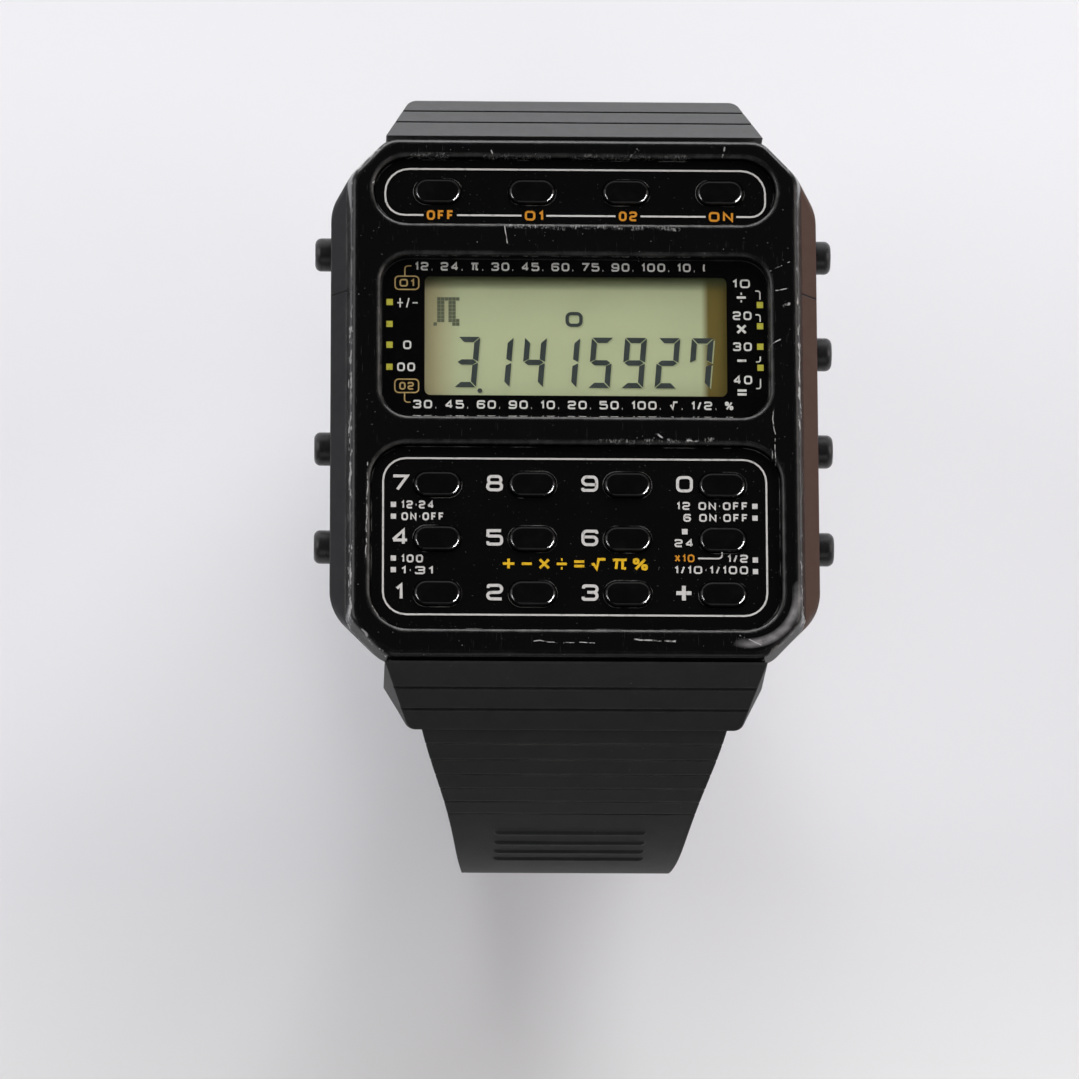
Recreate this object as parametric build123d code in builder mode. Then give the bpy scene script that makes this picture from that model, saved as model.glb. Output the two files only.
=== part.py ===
"""Calculator wristwatch with its strap buckled.

Millimetres. +X points to 3 o'clock, +Y to 12 o'clock and +Z out of the face.
The origin is the centre of the case back's outer face.
"""
from build123d import *
from math import atan2, cos, degrees, hypot, radians, sin
import os

os.makedirs("parts", exist_ok=True)

# One overrun for all cuts that must run past a face
overrun = 1.0

# Running clearances
slide_clearance = 0.08
seat_clearance = 0.1
loose_clearance = 0.2
contact_gap = 0.03

# Case outline: rectangle with cut corners, widest a little below the bezel
case_width = 37.0
case_length = 40.9
case_corner_x = 4.3
case_corner_y = 4.3
case_corner_radius = 3.9
case_top_draft = 1.2
case_bottom_draft_x = 1.4
case_bottom_draft_y = 0.85
case_side_wall = 3.9
case_end_wall = 1.85

# Heights above the outer face of the case back
back_thickness = 1.0
body_bottom_z = 0.4
body_wide_z = 6.8
body_top_z = 8.2
cavity_step_z = 3.4
cavity_roof_z = 5.8

# Bezel frame
bezel_thickness = 1.6
bezel_draft_x = 0.4
bezel_draft_y = 0.15
bezel_corner_x = 2.75
bezel_corner_y = 2.9
bezel_corner_radius = 1.8
bezel_rim_radius = 0.45
bezel_rib_depth = 1.0
bezel_rib_wall = 0.8
bezel_side_rib_margin = 9.3
bezel_end_rib_margin = 7.9
ledge_thickness = 0.5
ledge_width = 0.7
pocket_edge_radius = 0.25

# Case cavity
cavity_slot_wall = 2.0
cavity_lower_corner = 4.8
cavity_upper_corner_x = 2.6
cavity_upper_corner_y = 3.4
cavity_corner_radius = 1.0

# Key positions, shared by keys, plates and membrane
key_edge_x = 4.66
key_edge_y = 2.86
key_columns_x = 0.32
key_rows_lift = -0.1
key_length = 3.5
key_width = 1.9
key_proud = 0.35
key_flange_margin = 0.22
key_flange_thickness = 0.3
key_crown = 0.28

# Plates
plate_thickness = 0.5
function_plate_side_margin = 1.7
function_plate_top_margin = 1.5
function_plate_width = 5.1
keypad_plate_side_margin = 1.5
keypad_plate_front_margin = 2.24
keypad_plate_width = 14.2
keypad_plate_radius = 2.8

# Display
lens_side_margin = 2.25
lens_upper_bar = 2.71
lens_lower_bar = 2.35
lens_radius = 2.1
lens_sink = 0.3
lcd_side_margin = 2.6
lcd_edge_margin = 0.75
lcd_thickness = 1.15
lcd_top_gap = 0.1
connector_end_margin = 2.0
connector_thickness = 1.2
connector_inset = 0.5

# Membrane and key board
membrane_sheet = 0.4
membrane_margin = 0.5
dome_diameter = 1.6
key_board_thickness = 0.6
key_board_z = 6.9
key_board_margin = 0.15

# Module: frame, main board and what they carry
module_clearance = 0.3
frame_bottom_z = 1.5
frame_top_z = 4.0
post_length = 2.4
post_width = 1.3
post_side_margin = 5.1
main_board_side_margin = 2.2
main_board_end_margin = 2.3
main_board_thickness = 0.6
chip_size = 6.0
chip_thickness = 0.9
chip_x = -5.0
chip_y = -4.0
crystal_diameter = 2.0
crystal_length = 6.0
crystal_x = 3.0
crystal_y = -7.0
lamp_diameter = 1.5
lamp_length = 3.6
lamp_x = 8.0
battery_diameter = 20.0
battery_thickness = 1.6
insulator_thickness = 0.1
clamp_end_margin = 1.1
clamp_width = 7.0
clamp_thickness = 0.2
clamp_window_length = 12.0
clamp_window_width = 3.0
screw_diameter = 1.0
screw_head_diameter = 1.8
screw_head_height = 0.45
clamp_screw_head_height = 0.24
module_screw_edge_x = 1.4
module_screw_edge_y = 4.3
module_screw_length = 2.0
window_size = 12.0
buzzer_diameter = 14.0
buzzer_thickness = 0.2
buzzer_y = -6.0
buzzer_spring_x = 2.5
buzzer_spring_margin = 1.0
buzzer_spring_diameter = 1.2
buzzer_spring_wire = 0.2
buzzer_spring_turns = 4

# Case back and gasket
back_seat_width = 1.3
back_corner_radius = 3.0
back_edge_chamfer = 0.3
gasket_width = 0.6
gasket_height = 0.35
gasket_inset = 0.25
gasket_squeeze = 0.05
back_screw_edge_x = 2.3
back_screw_edge_y = 2.1
back_screw_length = 2.9
slot_blade = 0.25
slot_depth_share = 0.5

# Side pushers
pusher_diameter = 2.54
pusher_edge = 8.9
pusher_row_y = 0.95
pusher_z = 4.8
pusher_proud = 1.2
pusher_sink = 0.9
pusher_travel = 0.8
pusher_tip_radius = 0.5
pusher_bore_wall = 1.3
spring_room = 1.6
rod_diameter = 1.2
rod_stub = 0.7
clip_outer_diameter = 2.1
clip_groove_diameter = 0.8
clip_thickness = 0.2
clip_gap_width = 0.6
seal_section = 0.36
spring_wire = 0.2
spring_diameter = 2.5
spring_turns = 3

# Strap slots, spring bars and tongue
slot_width = 20.4
slot_roof_z = 5.0
bar_inset = 2.25
bar_z = 2.6
bar_diameter = 1.5
bar_tip_diameter = 0.8
bar_tip_length = 1.2
tongue_thickness = 2.5

# Strap
strap_thickness = 2.2
head_gap = 0.15
head_width = 28.7
head_end_width = 25.0
head_drop = 0.3
head_bottom_z = 1.0
head_slope = 46.0
head_length = 6.1
head_step = 0.3
head_corner_radius = 0.9
rib_first = 2.4
rib_second = 4.3
rib_cut_width = 0.24
rib_cut_depth = 0.2
strap_top_width = 23.2
strap_upper_width = 19.5
strap_middle_width = 17.1
strap_end_width = 16.0
strap_upper_drop = 6.4
strap_middle_drop = 15.3
strap_end_drop = 25.1
strap_start_slope = 48.0
upper_start_slope = 74.0
strap_side_radius = 26.0
strap_turn_angle = 110.0
strap_corner_radius = 20.0
fine_rib_count = 6
fine_rib_pitch = 1.54
fine_rib_width = 0.14
fine_rib_depth = 0.1
layer_gap = 0.25
hole_length = 3.6
hole_width = 1.8
hole_pitch = 6.3
tip_curl_length = 12.2
tip_radius = 6.0

# Buckle and keeper
buckle_bar_y = 2.0
buckle_bar_diameter = 1.2
buckle_wire = 1.3
buckle_reach = 8.6
buckle_side_clearance = 0.4
prong_width = 1.3
prong_thickness = 0.9
prong_wall = 0.35
prong_notch_width = 2.2
keeper_y = 7.2
keeper_width = 5.0
keeper_wall = 1.1
keeper_clearance = 0.15

# Outlines that follow from the sizes above
case_top_width = case_width - 2 * case_top_draft
case_bottom_width = case_width - 2 * case_bottom_draft_x
case_bottom_length = case_length - 2 * case_bottom_draft_y
bezel_top_width = case_top_width - 2 * bezel_draft_x
bezel_top_length = case_length - 2 * bezel_draft_y
bar_y = case_length / 2 - bar_inset
slot_start_y = bar_y - tongue_thickness / 2 - loose_clearance
cavity_width = case_width - 2 * case_side_wall
cavity_lower_length = 2 * (slot_start_y - cavity_slot_wall)
cavity_upper_length = case_length - 2 * case_end_wall
back_width = cavity_width + 2 * back_seat_width
back_length = cavity_lower_length + 2 * back_seat_width
back_screw_x = back_width / 2 - back_screw_edge_x
back_screw_y = back_length / 2 - back_screw_edge_y
function_plate_length = bezel_top_width - 2 * function_plate_side_margin
function_row_y = bezel_top_length / 2 - function_plate_top_margin - function_plate_width / 2
keypad_plate_length = bezel_top_width - 2 * keypad_plate_side_margin
keypad_plate_y = keypad_plate_front_margin + keypad_plate_width / 2 - bezel_top_length / 2
keypad_rows_y = keypad_plate_y + key_rows_lift
key_pitch_x = (keypad_plate_length - 2 * key_edge_x) / 3
key_pitch_y = (keypad_plate_width - 2 * key_edge_y) / 2
lens_top_y = function_row_y - function_plate_width / 2 - lens_upper_bar
lens_bottom_y = keypad_plate_y + keypad_plate_width / 2 + lens_lower_bar
lens_y = (lens_top_y + lens_bottom_y) / 2
lens_width = lens_top_y - lens_bottom_y
lens_length = bezel_top_width - 2 * lens_side_margin
lcd_length = cavity_width - 2 * lcd_side_margin
lcd_width = lens_width - 2 * lcd_edge_margin
connector_length = lcd_length - 2 * connector_end_margin
frame_width = cavity_width - 2 * module_clearance
frame_length = cavity_lower_length - 2 * module_clearance
main_board_width = cavity_width - 2 * main_board_side_margin
main_board_length = cavity_lower_length - 2 * main_board_end_margin
module_screw_x = main_board_width / 2 - module_screw_edge_x
module_screw_y = main_board_length / 2 - module_screw_edge_y
clamp_length = frame_width - 2 * clamp_end_margin
buzzer_spring_y = -(battery_diameter + buzzer_spring_diameter) / 2 - buzzer_spring_margin
pusher_pitch = (case_length - 2 * pusher_edge) / 3
pusher_bore_floor = cavity_width / 2 + pusher_bore_wall
pusher_shoulder = pusher_bore_floor + spring_room
pusher_reach = case_width / 2 + pusher_proud
pusher_flush_reach = case_width / 2 - pusher_sink
rod_reach = cavity_width / 2 - rod_stub
clip_x = cavity_width / 2 - contact_gap - clip_thickness

# Heights that follow from the sizes above
bezel_top_z = body_top_z + bezel_thickness
head_top_z = bezel_top_z - head_drop
plate_seat_z = body_top_z + ledge_thickness
plate_top_z = plate_seat_z + plate_thickness
lens_top_z = bezel_top_z - lens_sink
lcd_top_z = body_top_z - lcd_top_gap
lcd_bottom_z = lcd_top_z - lcd_thickness
key_board_top_z = key_board_z + key_board_thickness
key_flange_top_z = plate_seat_z - contact_gap
key_flange_bottom_z = key_flange_top_z - key_flange_thickness
main_board_top_z = frame_top_z + main_board_thickness
frame_pocket_z = frame_bottom_z + battery_thickness + insulator_thickness + contact_gap
tongue_width = slot_width - 2 * loose_clearance


def cut_cornered(width, length, cut_x, cut_y, radius):
    """Face of a rectangle with four cut corners, centred, its eight corners rounded."""
    half_w = width / 2
    half_l = length / 2
    quarter = [(half_w, half_l - cut_y), (half_w - cut_x, half_l)]
    points = quarter + [(-x, y) for x, y in reversed(quarter)]
    points += [(-x, -y) for x, y in quarter] + [(x, -y) for x, y in reversed(quarter)]
    with BuildSketch(Plane.XY) as outline:
        with BuildLine():
            Polyline(*points, close=True)
        make_face()
        fillet(outline.vertices(), radius)
    return outline.sketch


def save(builder, name):
    """Label a finished piece and write it."""
    builder.part.label = name
    export_step(builder.part, f"parts/{name}.step")


def coil(centre, axis, radius, wire, length, turns):
    """One coil spring of round wire, its half turns laid as arcs from centre along axis."""
    plane = Plane(centre, z_dir=axis)
    lift = (length - wire) / turns

    def on_coil(turn):
        angle = 2 * 180 * turn
        return plane.from_local_coords(
            (radius * cos(radians(angle)), radius * sin(radians(angle)), wire / 2 + lift * turn)
        )

    with BuildPart() as spring:
        with BuildLine() as path:
            for half_turn in range(2 * turns):
                begin = half_turn / 2
                ThreePointArc(on_coil(begin), on_coil(begin + 1 / 4), on_coil(begin + 1 / 2))
        with BuildSketch(Plane(path.line @ 0, z_dir=path.line % 0)):
            Circle(wire / 2)
        sweep()
    return spring.part


# Places of the twelve keypad keys, the four function keys and the pushers
key_x = [key_columns_x + key_pitch_x * (column - 1.5) for column in range(4)]
keypad_y = [keypad_rows_y + key_pitch_y * (1 - row) for row in range(3)]
keypad_names = [
    ["key_7", "key_8", "key_9", "key_0"],
    ["key_4", "key_5", "key_6", "key_point"],
    ["key_1", "key_2", "key_3", "key_plus"],
]
key_places = {}
for row, names in enumerate(keypad_names):
    for column, name in enumerate(names):
        key_places[name] = (key_x[column], keypad_y[row])
for column in range(4):
    key_places[f"function_key_{column + 1}"] = (key_x[column], function_row_y)
keypad_places = [place for name, place in key_places.items() if name.startswith("key_")]
function_places = [place for name, place in key_places.items() if name.startswith("function")]
pusher_y = [pusher_row_y + pusher_pitch * (1.5 - place) for place in range(4)]

# Case body: two tapered shells of cut-cornered outline, hollowed from both sides
case_top = cut_cornered(
    case_top_width, case_length, bezel_corner_x, bezel_corner_y, bezel_corner_radius
)
case_wide = cut_cornered(case_width, case_length, case_corner_x, case_corner_y, case_corner_radius)
case_bottom = cut_cornered(
    case_bottom_width, case_bottom_length, case_corner_x, case_corner_y, case_corner_radius
)
with BuildPart() as case_body:
    for low, low_z, high, high_z in (
        (case_bottom, body_bottom_z, case_wide, body_wide_z),
        (case_wide, body_wide_z, case_top, body_top_z),
    ):
        with BuildSketch(Plane.XY.offset(low_z)):
            add(low)
        with BuildSketch(Plane.XY.offset(high_z)):
            add(high)
        loft(ruled=True)
    # Recess for the back plate and the opening inside its screws
    with BuildSketch(Plane.XY.offset(body_bottom_z - overrun)):
        RectangleRounded(
            back_width + 2 * seat_clearance, back_length + 2 * seat_clearance, back_corner_radius
        )
    extrude(amount=back_thickness - body_bottom_z + overrun, mode=Mode.SUBTRACT)
    with BuildSketch(Plane.XY.offset(body_bottom_z)):
        add(cut_cornered(
            cavity_width,
            cavity_lower_length,
            cavity_lower_corner,
            cavity_lower_corner,
            cavity_corner_radius,
        ))
    extrude(amount=cavity_step_z - body_bottom_z, mode=Mode.SUBTRACT)
    with BuildSketch(Plane.XY.offset(cavity_step_z)):
        RectangleRounded(cavity_width, cavity_lower_length, cavity_corner_radius)
    extrude(amount=cavity_roof_z - cavity_step_z, mode=Mode.SUBTRACT)
    with BuildSketch(Plane.XY.offset(cavity_roof_z)):
        add(cut_cornered(
            cavity_width,
            cavity_upper_length,
            cavity_upper_corner_x,
            cavity_upper_corner_y,
            cavity_corner_radius,
        ))
    extrude(amount=body_top_z - cavity_roof_z + overrun, mode=Mode.SUBTRACT)
    # Gasket groove in the seat of the back plate
    with BuildSketch(Plane.XY.offset(back_thickness)):
        for margin, mode in ((gasket_inset + gasket_width, Mode.ADD), (gasket_inset, Mode.SUBTRACT)):
            add(cut_cornered(
                cavity_width + 2 * margin,
                cavity_lower_length + 2 * margin,
                cavity_lower_corner,
                cavity_lower_corner,
                cavity_corner_radius + margin,
            ), mode=mode)
    extrude(amount=gasket_height, mode=Mode.SUBTRACT)
    # Screw holes for the back
    with BuildSketch(Plane.XY.offset(back_thickness)):
        with GridLocations(2 * back_screw_x, 2 * back_screw_y, 2, 2):
            Circle(screw_diameter / 2)
    extrude(amount=back_screw_length - back_thickness + seat_clearance, mode=Mode.SUBTRACT)
    # Strap slots at both ends with blind holes for the spring bar tips
    with BuildSketch(Plane.XY):
        for side in (1, -1):
            with Locations((0, side * (slot_start_y + case_length / 2 + overrun) / 2)):
                Rectangle(slot_width, case_length / 2 + overrun - slot_start_y)
    extrude(amount=slot_roof_z, mode=Mode.SUBTRACT)
    with BuildSketch(Plane.YZ):
        with Locations((bar_y, bar_z), (-bar_y, bar_z)):
            Circle(bar_tip_diameter / 2 + slide_clearance)
    extrude(amount=slot_width / 2 + bar_tip_length + seat_clearance, both=True, mode=Mode.SUBTRACT)
    # Pusher bores through both side walls: a wide bore for head and spring, a narrow one for the rod
    with BuildSketch(Plane.YZ):
        with Locations(*[(y, pusher_z) for y in pusher_y]):
            Circle(rod_diameter / 2 + contact_gap)
    extrude(amount=pusher_bore_floor + overrun, both=True, mode=Mode.SUBTRACT)
    for side in (1, -1):
        with BuildSketch(Plane.YZ.offset(side * pusher_bore_floor)):
            with Locations(*[(y, pusher_z) for y in pusher_y]):
                Circle(pusher_diameter / 2 + slide_clearance)
        extrude(amount=side * (case_width / 2 + overrun - pusher_bore_floor), mode=Mode.SUBTRACT)
save(case_body, "case_body")

# Bezel frame: gloss slab with three stepped openings and four locating ribs
with BuildPart() as bezel:
    with BuildSketch(Plane.XY.offset(body_top_z)):
        add(case_top)
    with BuildSketch(Plane.XY.offset(bezel_top_z)):
        add(cut_cornered(
            bezel_top_width, bezel_top_length, bezel_corner_x, bezel_corner_y, bezel_corner_radius
        ))
    loft(ruled=True)
    fillet(bezel.faces().sort_by(Axis.Z)[-1].edges(), bezel_rim_radius)
    # Pockets that take the plates and the glass
    with BuildSketch(Plane.XY.offset(plate_seat_z)):
        with Locations((0, function_row_y)):
            SlotOverall(function_plate_length + 2 * seat_clearance, function_plate_width + 2 * seat_clearance)
        with Locations((0, keypad_plate_y)):
            RectangleRounded(
                keypad_plate_length + 2 * seat_clearance,
                keypad_plate_width + 2 * seat_clearance,
                keypad_plate_radius + seat_clearance,
            )
        with Locations((0, lens_y)):
            RectangleRounded(
                lens_length + 2 * seat_clearance,
                lens_width + 2 * seat_clearance,
                lens_radius + seat_clearance,
            )
    extrude(amount=bezel_thickness, mode=Mode.SUBTRACT)
    rim_edges = bezel.faces().filter_by(Plane.XY).sort_by(Axis.Z)[-1].inner_wires().edges()
    fillet(rim_edges, pocket_edge_radius)
    # Openings inside the ledges
    with BuildSketch(Plane.XY.offset(body_top_z)):
        with Locations((0, function_row_y)):
            SlotOverall(function_plate_length - 2 * ledge_width, function_plate_width - 2 * ledge_width)
        with Locations((0, keypad_plate_y)):
            RectangleRounded(
                keypad_plate_length - 2 * ledge_width,
                keypad_plate_width - 2 * ledge_width,
                keypad_plate_radius - ledge_width,
            )
        with Locations((0, lens_y)):
            RectangleRounded(
                lens_length - 2 * ledge_width, lens_width - 2 * ledge_width, lens_radius - ledge_width
            )
    extrude(amount=ledge_thickness, mode=Mode.SUBTRACT)
    # Locating ribs that drop inside the case walls
    with BuildSketch(Plane.XY.offset(body_top_z - bezel_rib_depth)):
        rib_x = cavity_width / 2 - seat_clearance - bezel_rib_wall / 2
        rib_y = cavity_upper_length / 2 - seat_clearance - bezel_rib_wall / 2
        with Locations((rib_x, 0), (-rib_x, 0)):
            Rectangle(bezel_rib_wall, bezel_top_length - 2 * bezel_side_rib_margin)
        with Locations((0, rib_y), (0, -rib_y)):
            Rectangle(bezel_top_width - 2 * bezel_end_rib_margin, bezel_rib_wall)
    extrude(amount=bezel_rib_depth)
save(bezel, "bezel")

# Printed plates in the pockets, pierced for their keys
for name, places in (("function_plate", function_places), ("keypad_plate", keypad_places)):
    with BuildPart() as plate:
        with BuildSketch(Plane.XY.offset(plate_seat_z)):
            if name == "function_plate":
                with Locations((0, function_row_y)):
                    SlotOverall(function_plate_length, function_plate_width)
            else:
                with Locations((0, keypad_plate_y)):
                    RectangleRounded(keypad_plate_length, keypad_plate_width, keypad_plate_radius)
            with Locations(*places):
                SlotOverall(
                    key_length + 2 * slide_clearance, key_width + 2 * slide_clearance, mode=Mode.SUBTRACT
                )
        extrude(amount=plate_thickness)
    save(plate, name)

# Display glass
with BuildPart() as display_lens:
    with BuildSketch(Plane.XY.offset(plate_seat_z)):
        with Locations((0, lens_y)):
            RectangleRounded(lens_length, lens_width, lens_radius)
    extrude(amount=lens_top_z - plate_seat_z)
save(display_lens, "display_lens")

# Keys: pill-shaped cap with a crowned top, a flange under the plate and a short plunger
for name, place in key_places.items():
    with BuildPart() as key:
        with BuildSketch(Plane.XY.offset(key_flange_bottom_z)):
            with Locations(place):
                SlotOverall(key_length + 2 * key_flange_margin, key_width + 2 * key_flange_margin)
        extrude(amount=key_flange_thickness)
        with BuildSketch(Plane.XY.offset(key_flange_top_z)):
            with Locations(place):
                SlotOverall(key_length, key_width)
        extrude(amount=plate_top_z + key_proud - key_flange_top_z)
        fillet(key.faces().sort_by(Axis.Z)[-1].edges(), key_crown)
    save(key, name)

# Rubber membrane: one sheet under each group of keys, with a dome below every key
with BuildPart() as key_membrane:
    with BuildSketch(Plane.XY.offset(key_board_top_z)):
        with Locations((key_columns_x, function_row_y)):
            SlotOverall(
                3 * key_pitch_x + key_length + 2 * membrane_margin, key_width + 2 * membrane_margin
            )
        with Locations((key_columns_x, keypad_rows_y)):
            RectangleRounded(
                3 * key_pitch_x + key_length + 2 * membrane_margin,
                2 * key_pitch_y + key_width + 2 * membrane_margin,
                key_width / 2,
            )
    extrude(amount=membrane_sheet)
    with BuildSketch(Plane.XY.offset(key_board_top_z + membrane_sheet)):
        with Locations(*key_places.values()):
            Circle(dome_diameter / 2)
    extrude(amount=key_flange_bottom_z - contact_gap - key_board_top_z - membrane_sheet)
save(key_membrane, "key_membrane")

# Key circuit board with a window for the display
key_board_inset = seat_clearance + bezel_rib_wall + key_board_margin
with BuildPart() as key_circuit_board:
    with BuildSketch(Plane.XY.offset(key_board_z)):
        add(cut_cornered(
            cavity_width - 2 * key_board_inset,
            cavity_upper_length - 2 * key_board_inset,
            cavity_upper_corner_x,
            cavity_upper_corner_y,
            cavity_corner_radius,
        ))
        with Locations((0, lens_y)):
            Rectangle(lcd_length + 2 * loose_clearance, lcd_width + 2 * loose_clearance, mode=Mode.SUBTRACT)
    extrude(amount=key_board_thickness)
save(key_circuit_board, "key_circuit_board")

# Liquid crystal panel: two glass plates, the lower one deeper by its contact ledges
with BuildPart() as lcd_panel:
    with BuildSketch(Plane.XY.offset(lcd_bottom_z)):
        with Locations((0, lens_y)):
            Rectangle(lcd_length, lcd_width)
    extrude(amount=lcd_thickness / 2)
    with BuildSketch(Plane.XY.offset(lcd_bottom_z + lcd_thickness / 2)):
        with Locations((0, lens_y)):
            Rectangle(lcd_length, lcd_width - 2 * connector_inset)
    extrude(amount=lcd_thickness / 2)
save(lcd_panel, "lcd_panel")

# Connector strips that carry the panel on the main board
connector_offset = lcd_width / 2 - connector_inset - connector_thickness / 2
with BuildPart() as lcd_connectors:
    with BuildSketch(Plane.XY.offset(main_board_top_z)):
        with Locations((0, lens_y + connector_offset), (0, lens_y - connector_offset)):
            Rectangle(connector_length, connector_thickness)
    extrude(amount=lcd_bottom_z - main_board_top_z)
save(lcd_connectors, "lcd_connectors")

# Module frame: carries the cell from below, the board from above, and the key board on four posts
with BuildPart() as module_frame:
    with BuildSketch(Plane.XY.offset(frame_bottom_z)):
        add(cut_cornered(
            frame_width, frame_length, cavity_lower_corner, cavity_lower_corner, cavity_corner_radius
        ))
    extrude(amount=frame_top_z - frame_bottom_z)
    with BuildSketch(Plane.XY.offset(frame_bottom_z)):
        Circle(battery_diameter / 2 + loose_clearance)
    extrude(amount=frame_pocket_z - frame_bottom_z, mode=Mode.SUBTRACT)
    with BuildSketch(Plane.XY.offset(frame_bottom_z)):
        RectangleRounded(window_size, window_size, cavity_corner_radius)
        with Locations((buzzer_spring_x, buzzer_spring_y)):
            Circle(buzzer_spring_diameter / 2 + loose_clearance)
        with GridLocations(2 * module_screw_x, 2 * module_screw_y, 2, 2):
            Circle(screw_diameter / 2)
        with GridLocations(clamp_length - screw_head_diameter, 0, 2, 1):
            Circle(screw_diameter / 2)
    extrude(amount=frame_top_z - frame_bottom_z, mode=Mode.SUBTRACT)
    post_spread_y = frame_length - post_width
    with BuildSketch(Plane.XY.offset(frame_top_z)):
        with GridLocations(frame_width - 2 * post_side_margin - post_length, post_spread_y, 2, 2):
            Rectangle(post_length, post_width)
    extrude(amount=key_board_z - frame_top_z)
    # Reliefs under the retaining clips of the pushers
    relief_length = frame_width / 2 + slide_clearance - clip_x + pusher_travel
    with BuildSketch(Plane.XY.offset(frame_top_z)):
        for side in (1, -1):
            with Locations(*[(side * (frame_width - relief_length) / 2, y) for y in pusher_y]):
                Rectangle(relief_length, clip_outer_diameter + 2 * slide_clearance)
    extrude(
        amount=pusher_z - clip_outer_diameter / 2 - slide_clearance - frame_top_z,
        mode=Mode.SUBTRACT,
    )
save(module_frame, "module_frame")

# Main circuit board on the frame
with BuildPart() as main_circuit_board:
    with BuildSketch(Plane.XY.offset(frame_top_z)):
        RectangleRounded(main_board_width, main_board_length, cavity_corner_radius)
        with GridLocations(2 * module_screw_x, 2 * module_screw_y, 2, 2):
            Circle(screw_diameter / 2 + slide_clearance, mode=Mode.SUBTRACT)
    extrude(amount=main_board_thickness)
save(main_circuit_board, "main_circuit_board")

# Processor chip, quartz crystal and lamp stand on the main board
with BuildPart() as processor_chip:
    with BuildSketch(Plane.XY.offset(main_board_top_z)):
        with Locations((chip_x, chip_y)):
            Rectangle(chip_size, chip_size)
    extrude(amount=chip_thickness)
    chamfer(processor_chip.faces().sort_by(Axis.Z)[-1].edges(), contact_gap)
save(processor_chip, "processor_chip")

with BuildPart() as quartz_crystal:
    with BuildSketch(Plane.YZ.offset(crystal_x)):
        with Locations((crystal_y, main_board_top_z + crystal_diameter / 2)):
            Circle(crystal_diameter / 2)
    extrude(amount=crystal_length)
save(quartz_crystal, "quartz_crystal")

with BuildPart() as backlight_lamp:
    with BuildSketch(Plane.XZ.offset(-lens_y + lamp_length / 2)):
        with Locations((lamp_x, main_board_top_z + lamp_diameter / 2)):
            Circle(lamp_diameter / 2)
    extrude(amount=-lamp_length)
    fillet(backlight_lamp.faces().sort_by(Axis.Y)[-1].edges(), lamp_diameter / 4)
save(backlight_lamp, "backlight_lamp")

# Button cell: wide can below, narrower cap above
with BuildPart() as battery:
    with BuildSketch(Plane.XY.offset(frame_bottom_z)):
        Circle(battery_diameter / 2)
    extrude(amount=battery_thickness * 3 / 4)
    with BuildSketch(Plane.XY.offset(frame_bottom_z + battery_thickness * 3 / 4)):
        Circle(battery_diameter / 2 - battery_thickness / 2)
    extrude(amount=battery_thickness / 4)
save(battery, "battery")

with BuildPart() as battery_insulator:
    with BuildSketch(Plane.XY.offset(frame_bottom_z + battery_thickness + contact_gap)):
        Circle(battery_diameter / 2)
        RectangleRounded(window_size / 2, window_size / 2, cavity_corner_radius, mode=Mode.SUBTRACT)
    extrude(amount=insulator_thickness)
save(battery_insulator, "battery_insulator")

# Clamp plate across the cell, screwed to the frame at both ends
clamp_top_z = frame_bottom_z - contact_gap
clamp_bottom_z = clamp_top_z - clamp_thickness
clamp_screw_spread = clamp_length - screw_head_diameter
with BuildPart() as battery_clamp:
    with BuildSketch(Plane.XY.offset(clamp_bottom_z)):
        SlotOverall(clamp_length, clamp_width)
        SlotOverall(clamp_window_length, clamp_window_width, mode=Mode.SUBTRACT)
        with GridLocations(clamp_screw_spread, 0, 2, 1):
            Circle(screw_diameter / 2 + slide_clearance, mode=Mode.SUBTRACT)
    extrude(amount=clamp_thickness)
save(battery_clamp, "battery_clamp")

# Module screws: four through the main board from above, two through the clamp from below
with BuildPart() as module_screws:
    with BuildSketch(Plane.XY.offset(main_board_top_z)):
        with GridLocations(2 * module_screw_x, 2 * module_screw_y, 2, 2):
            Circle(screw_head_diameter / 2)
    extrude(amount=screw_head_height)
    with BuildSketch(Plane.XY.offset(main_board_top_z)):
        with GridLocations(2 * module_screw_x, 2 * module_screw_y, 2, 2):
            Circle(screw_diameter / 2)
    extrude(amount=-module_screw_length)
    with BuildSketch(Plane.XY.offset(main_board_top_z + screw_head_height)):
        with GridLocations(2 * module_screw_x, 2 * module_screw_y, 2, 2):
            Rectangle(screw_head_diameter, slot_blade)
    extrude(amount=-screw_head_height * slot_depth_share, mode=Mode.SUBTRACT)
    with BuildSketch(Plane.XY.offset(clamp_bottom_z)):
        with GridLocations(clamp_screw_spread, 0, 2, 1):
            Circle(screw_head_diameter / 2)
    extrude(amount=-clamp_screw_head_height)
    with BuildSketch(Plane.XY.offset(clamp_bottom_z)):
        with GridLocations(clamp_screw_spread, 0, 2, 1):
            Circle(screw_diameter / 2)
    extrude(amount=module_screw_length)
save(module_screws, "module_screws")

# Piezo disc glued inside the case back, and its contact spring from the main board
with BuildPart() as piezo_buzzer:
    with BuildSketch(Plane.XY.offset(back_thickness)):
        with Locations((0, buzzer_y)):
            Circle(buzzer_diameter / 2)
    extrude(amount=buzzer_thickness)
save(piezo_buzzer, "piezo_buzzer")

buzzer_spring_bottom_z = back_thickness + buzzer_thickness + contact_gap
with BuildPart() as buzzer_spring:
    add(coil(
        (buzzer_spring_x, buzzer_spring_y, buzzer_spring_bottom_z),
        (0, 0, 1),
        (buzzer_spring_diameter - buzzer_spring_wire) / 2,
        buzzer_spring_wire,
        frame_top_z - contact_gap - buzzer_spring_bottom_z,
        buzzer_spring_turns,
    ))
save(buzzer_spring, "buzzer_spring")

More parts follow.
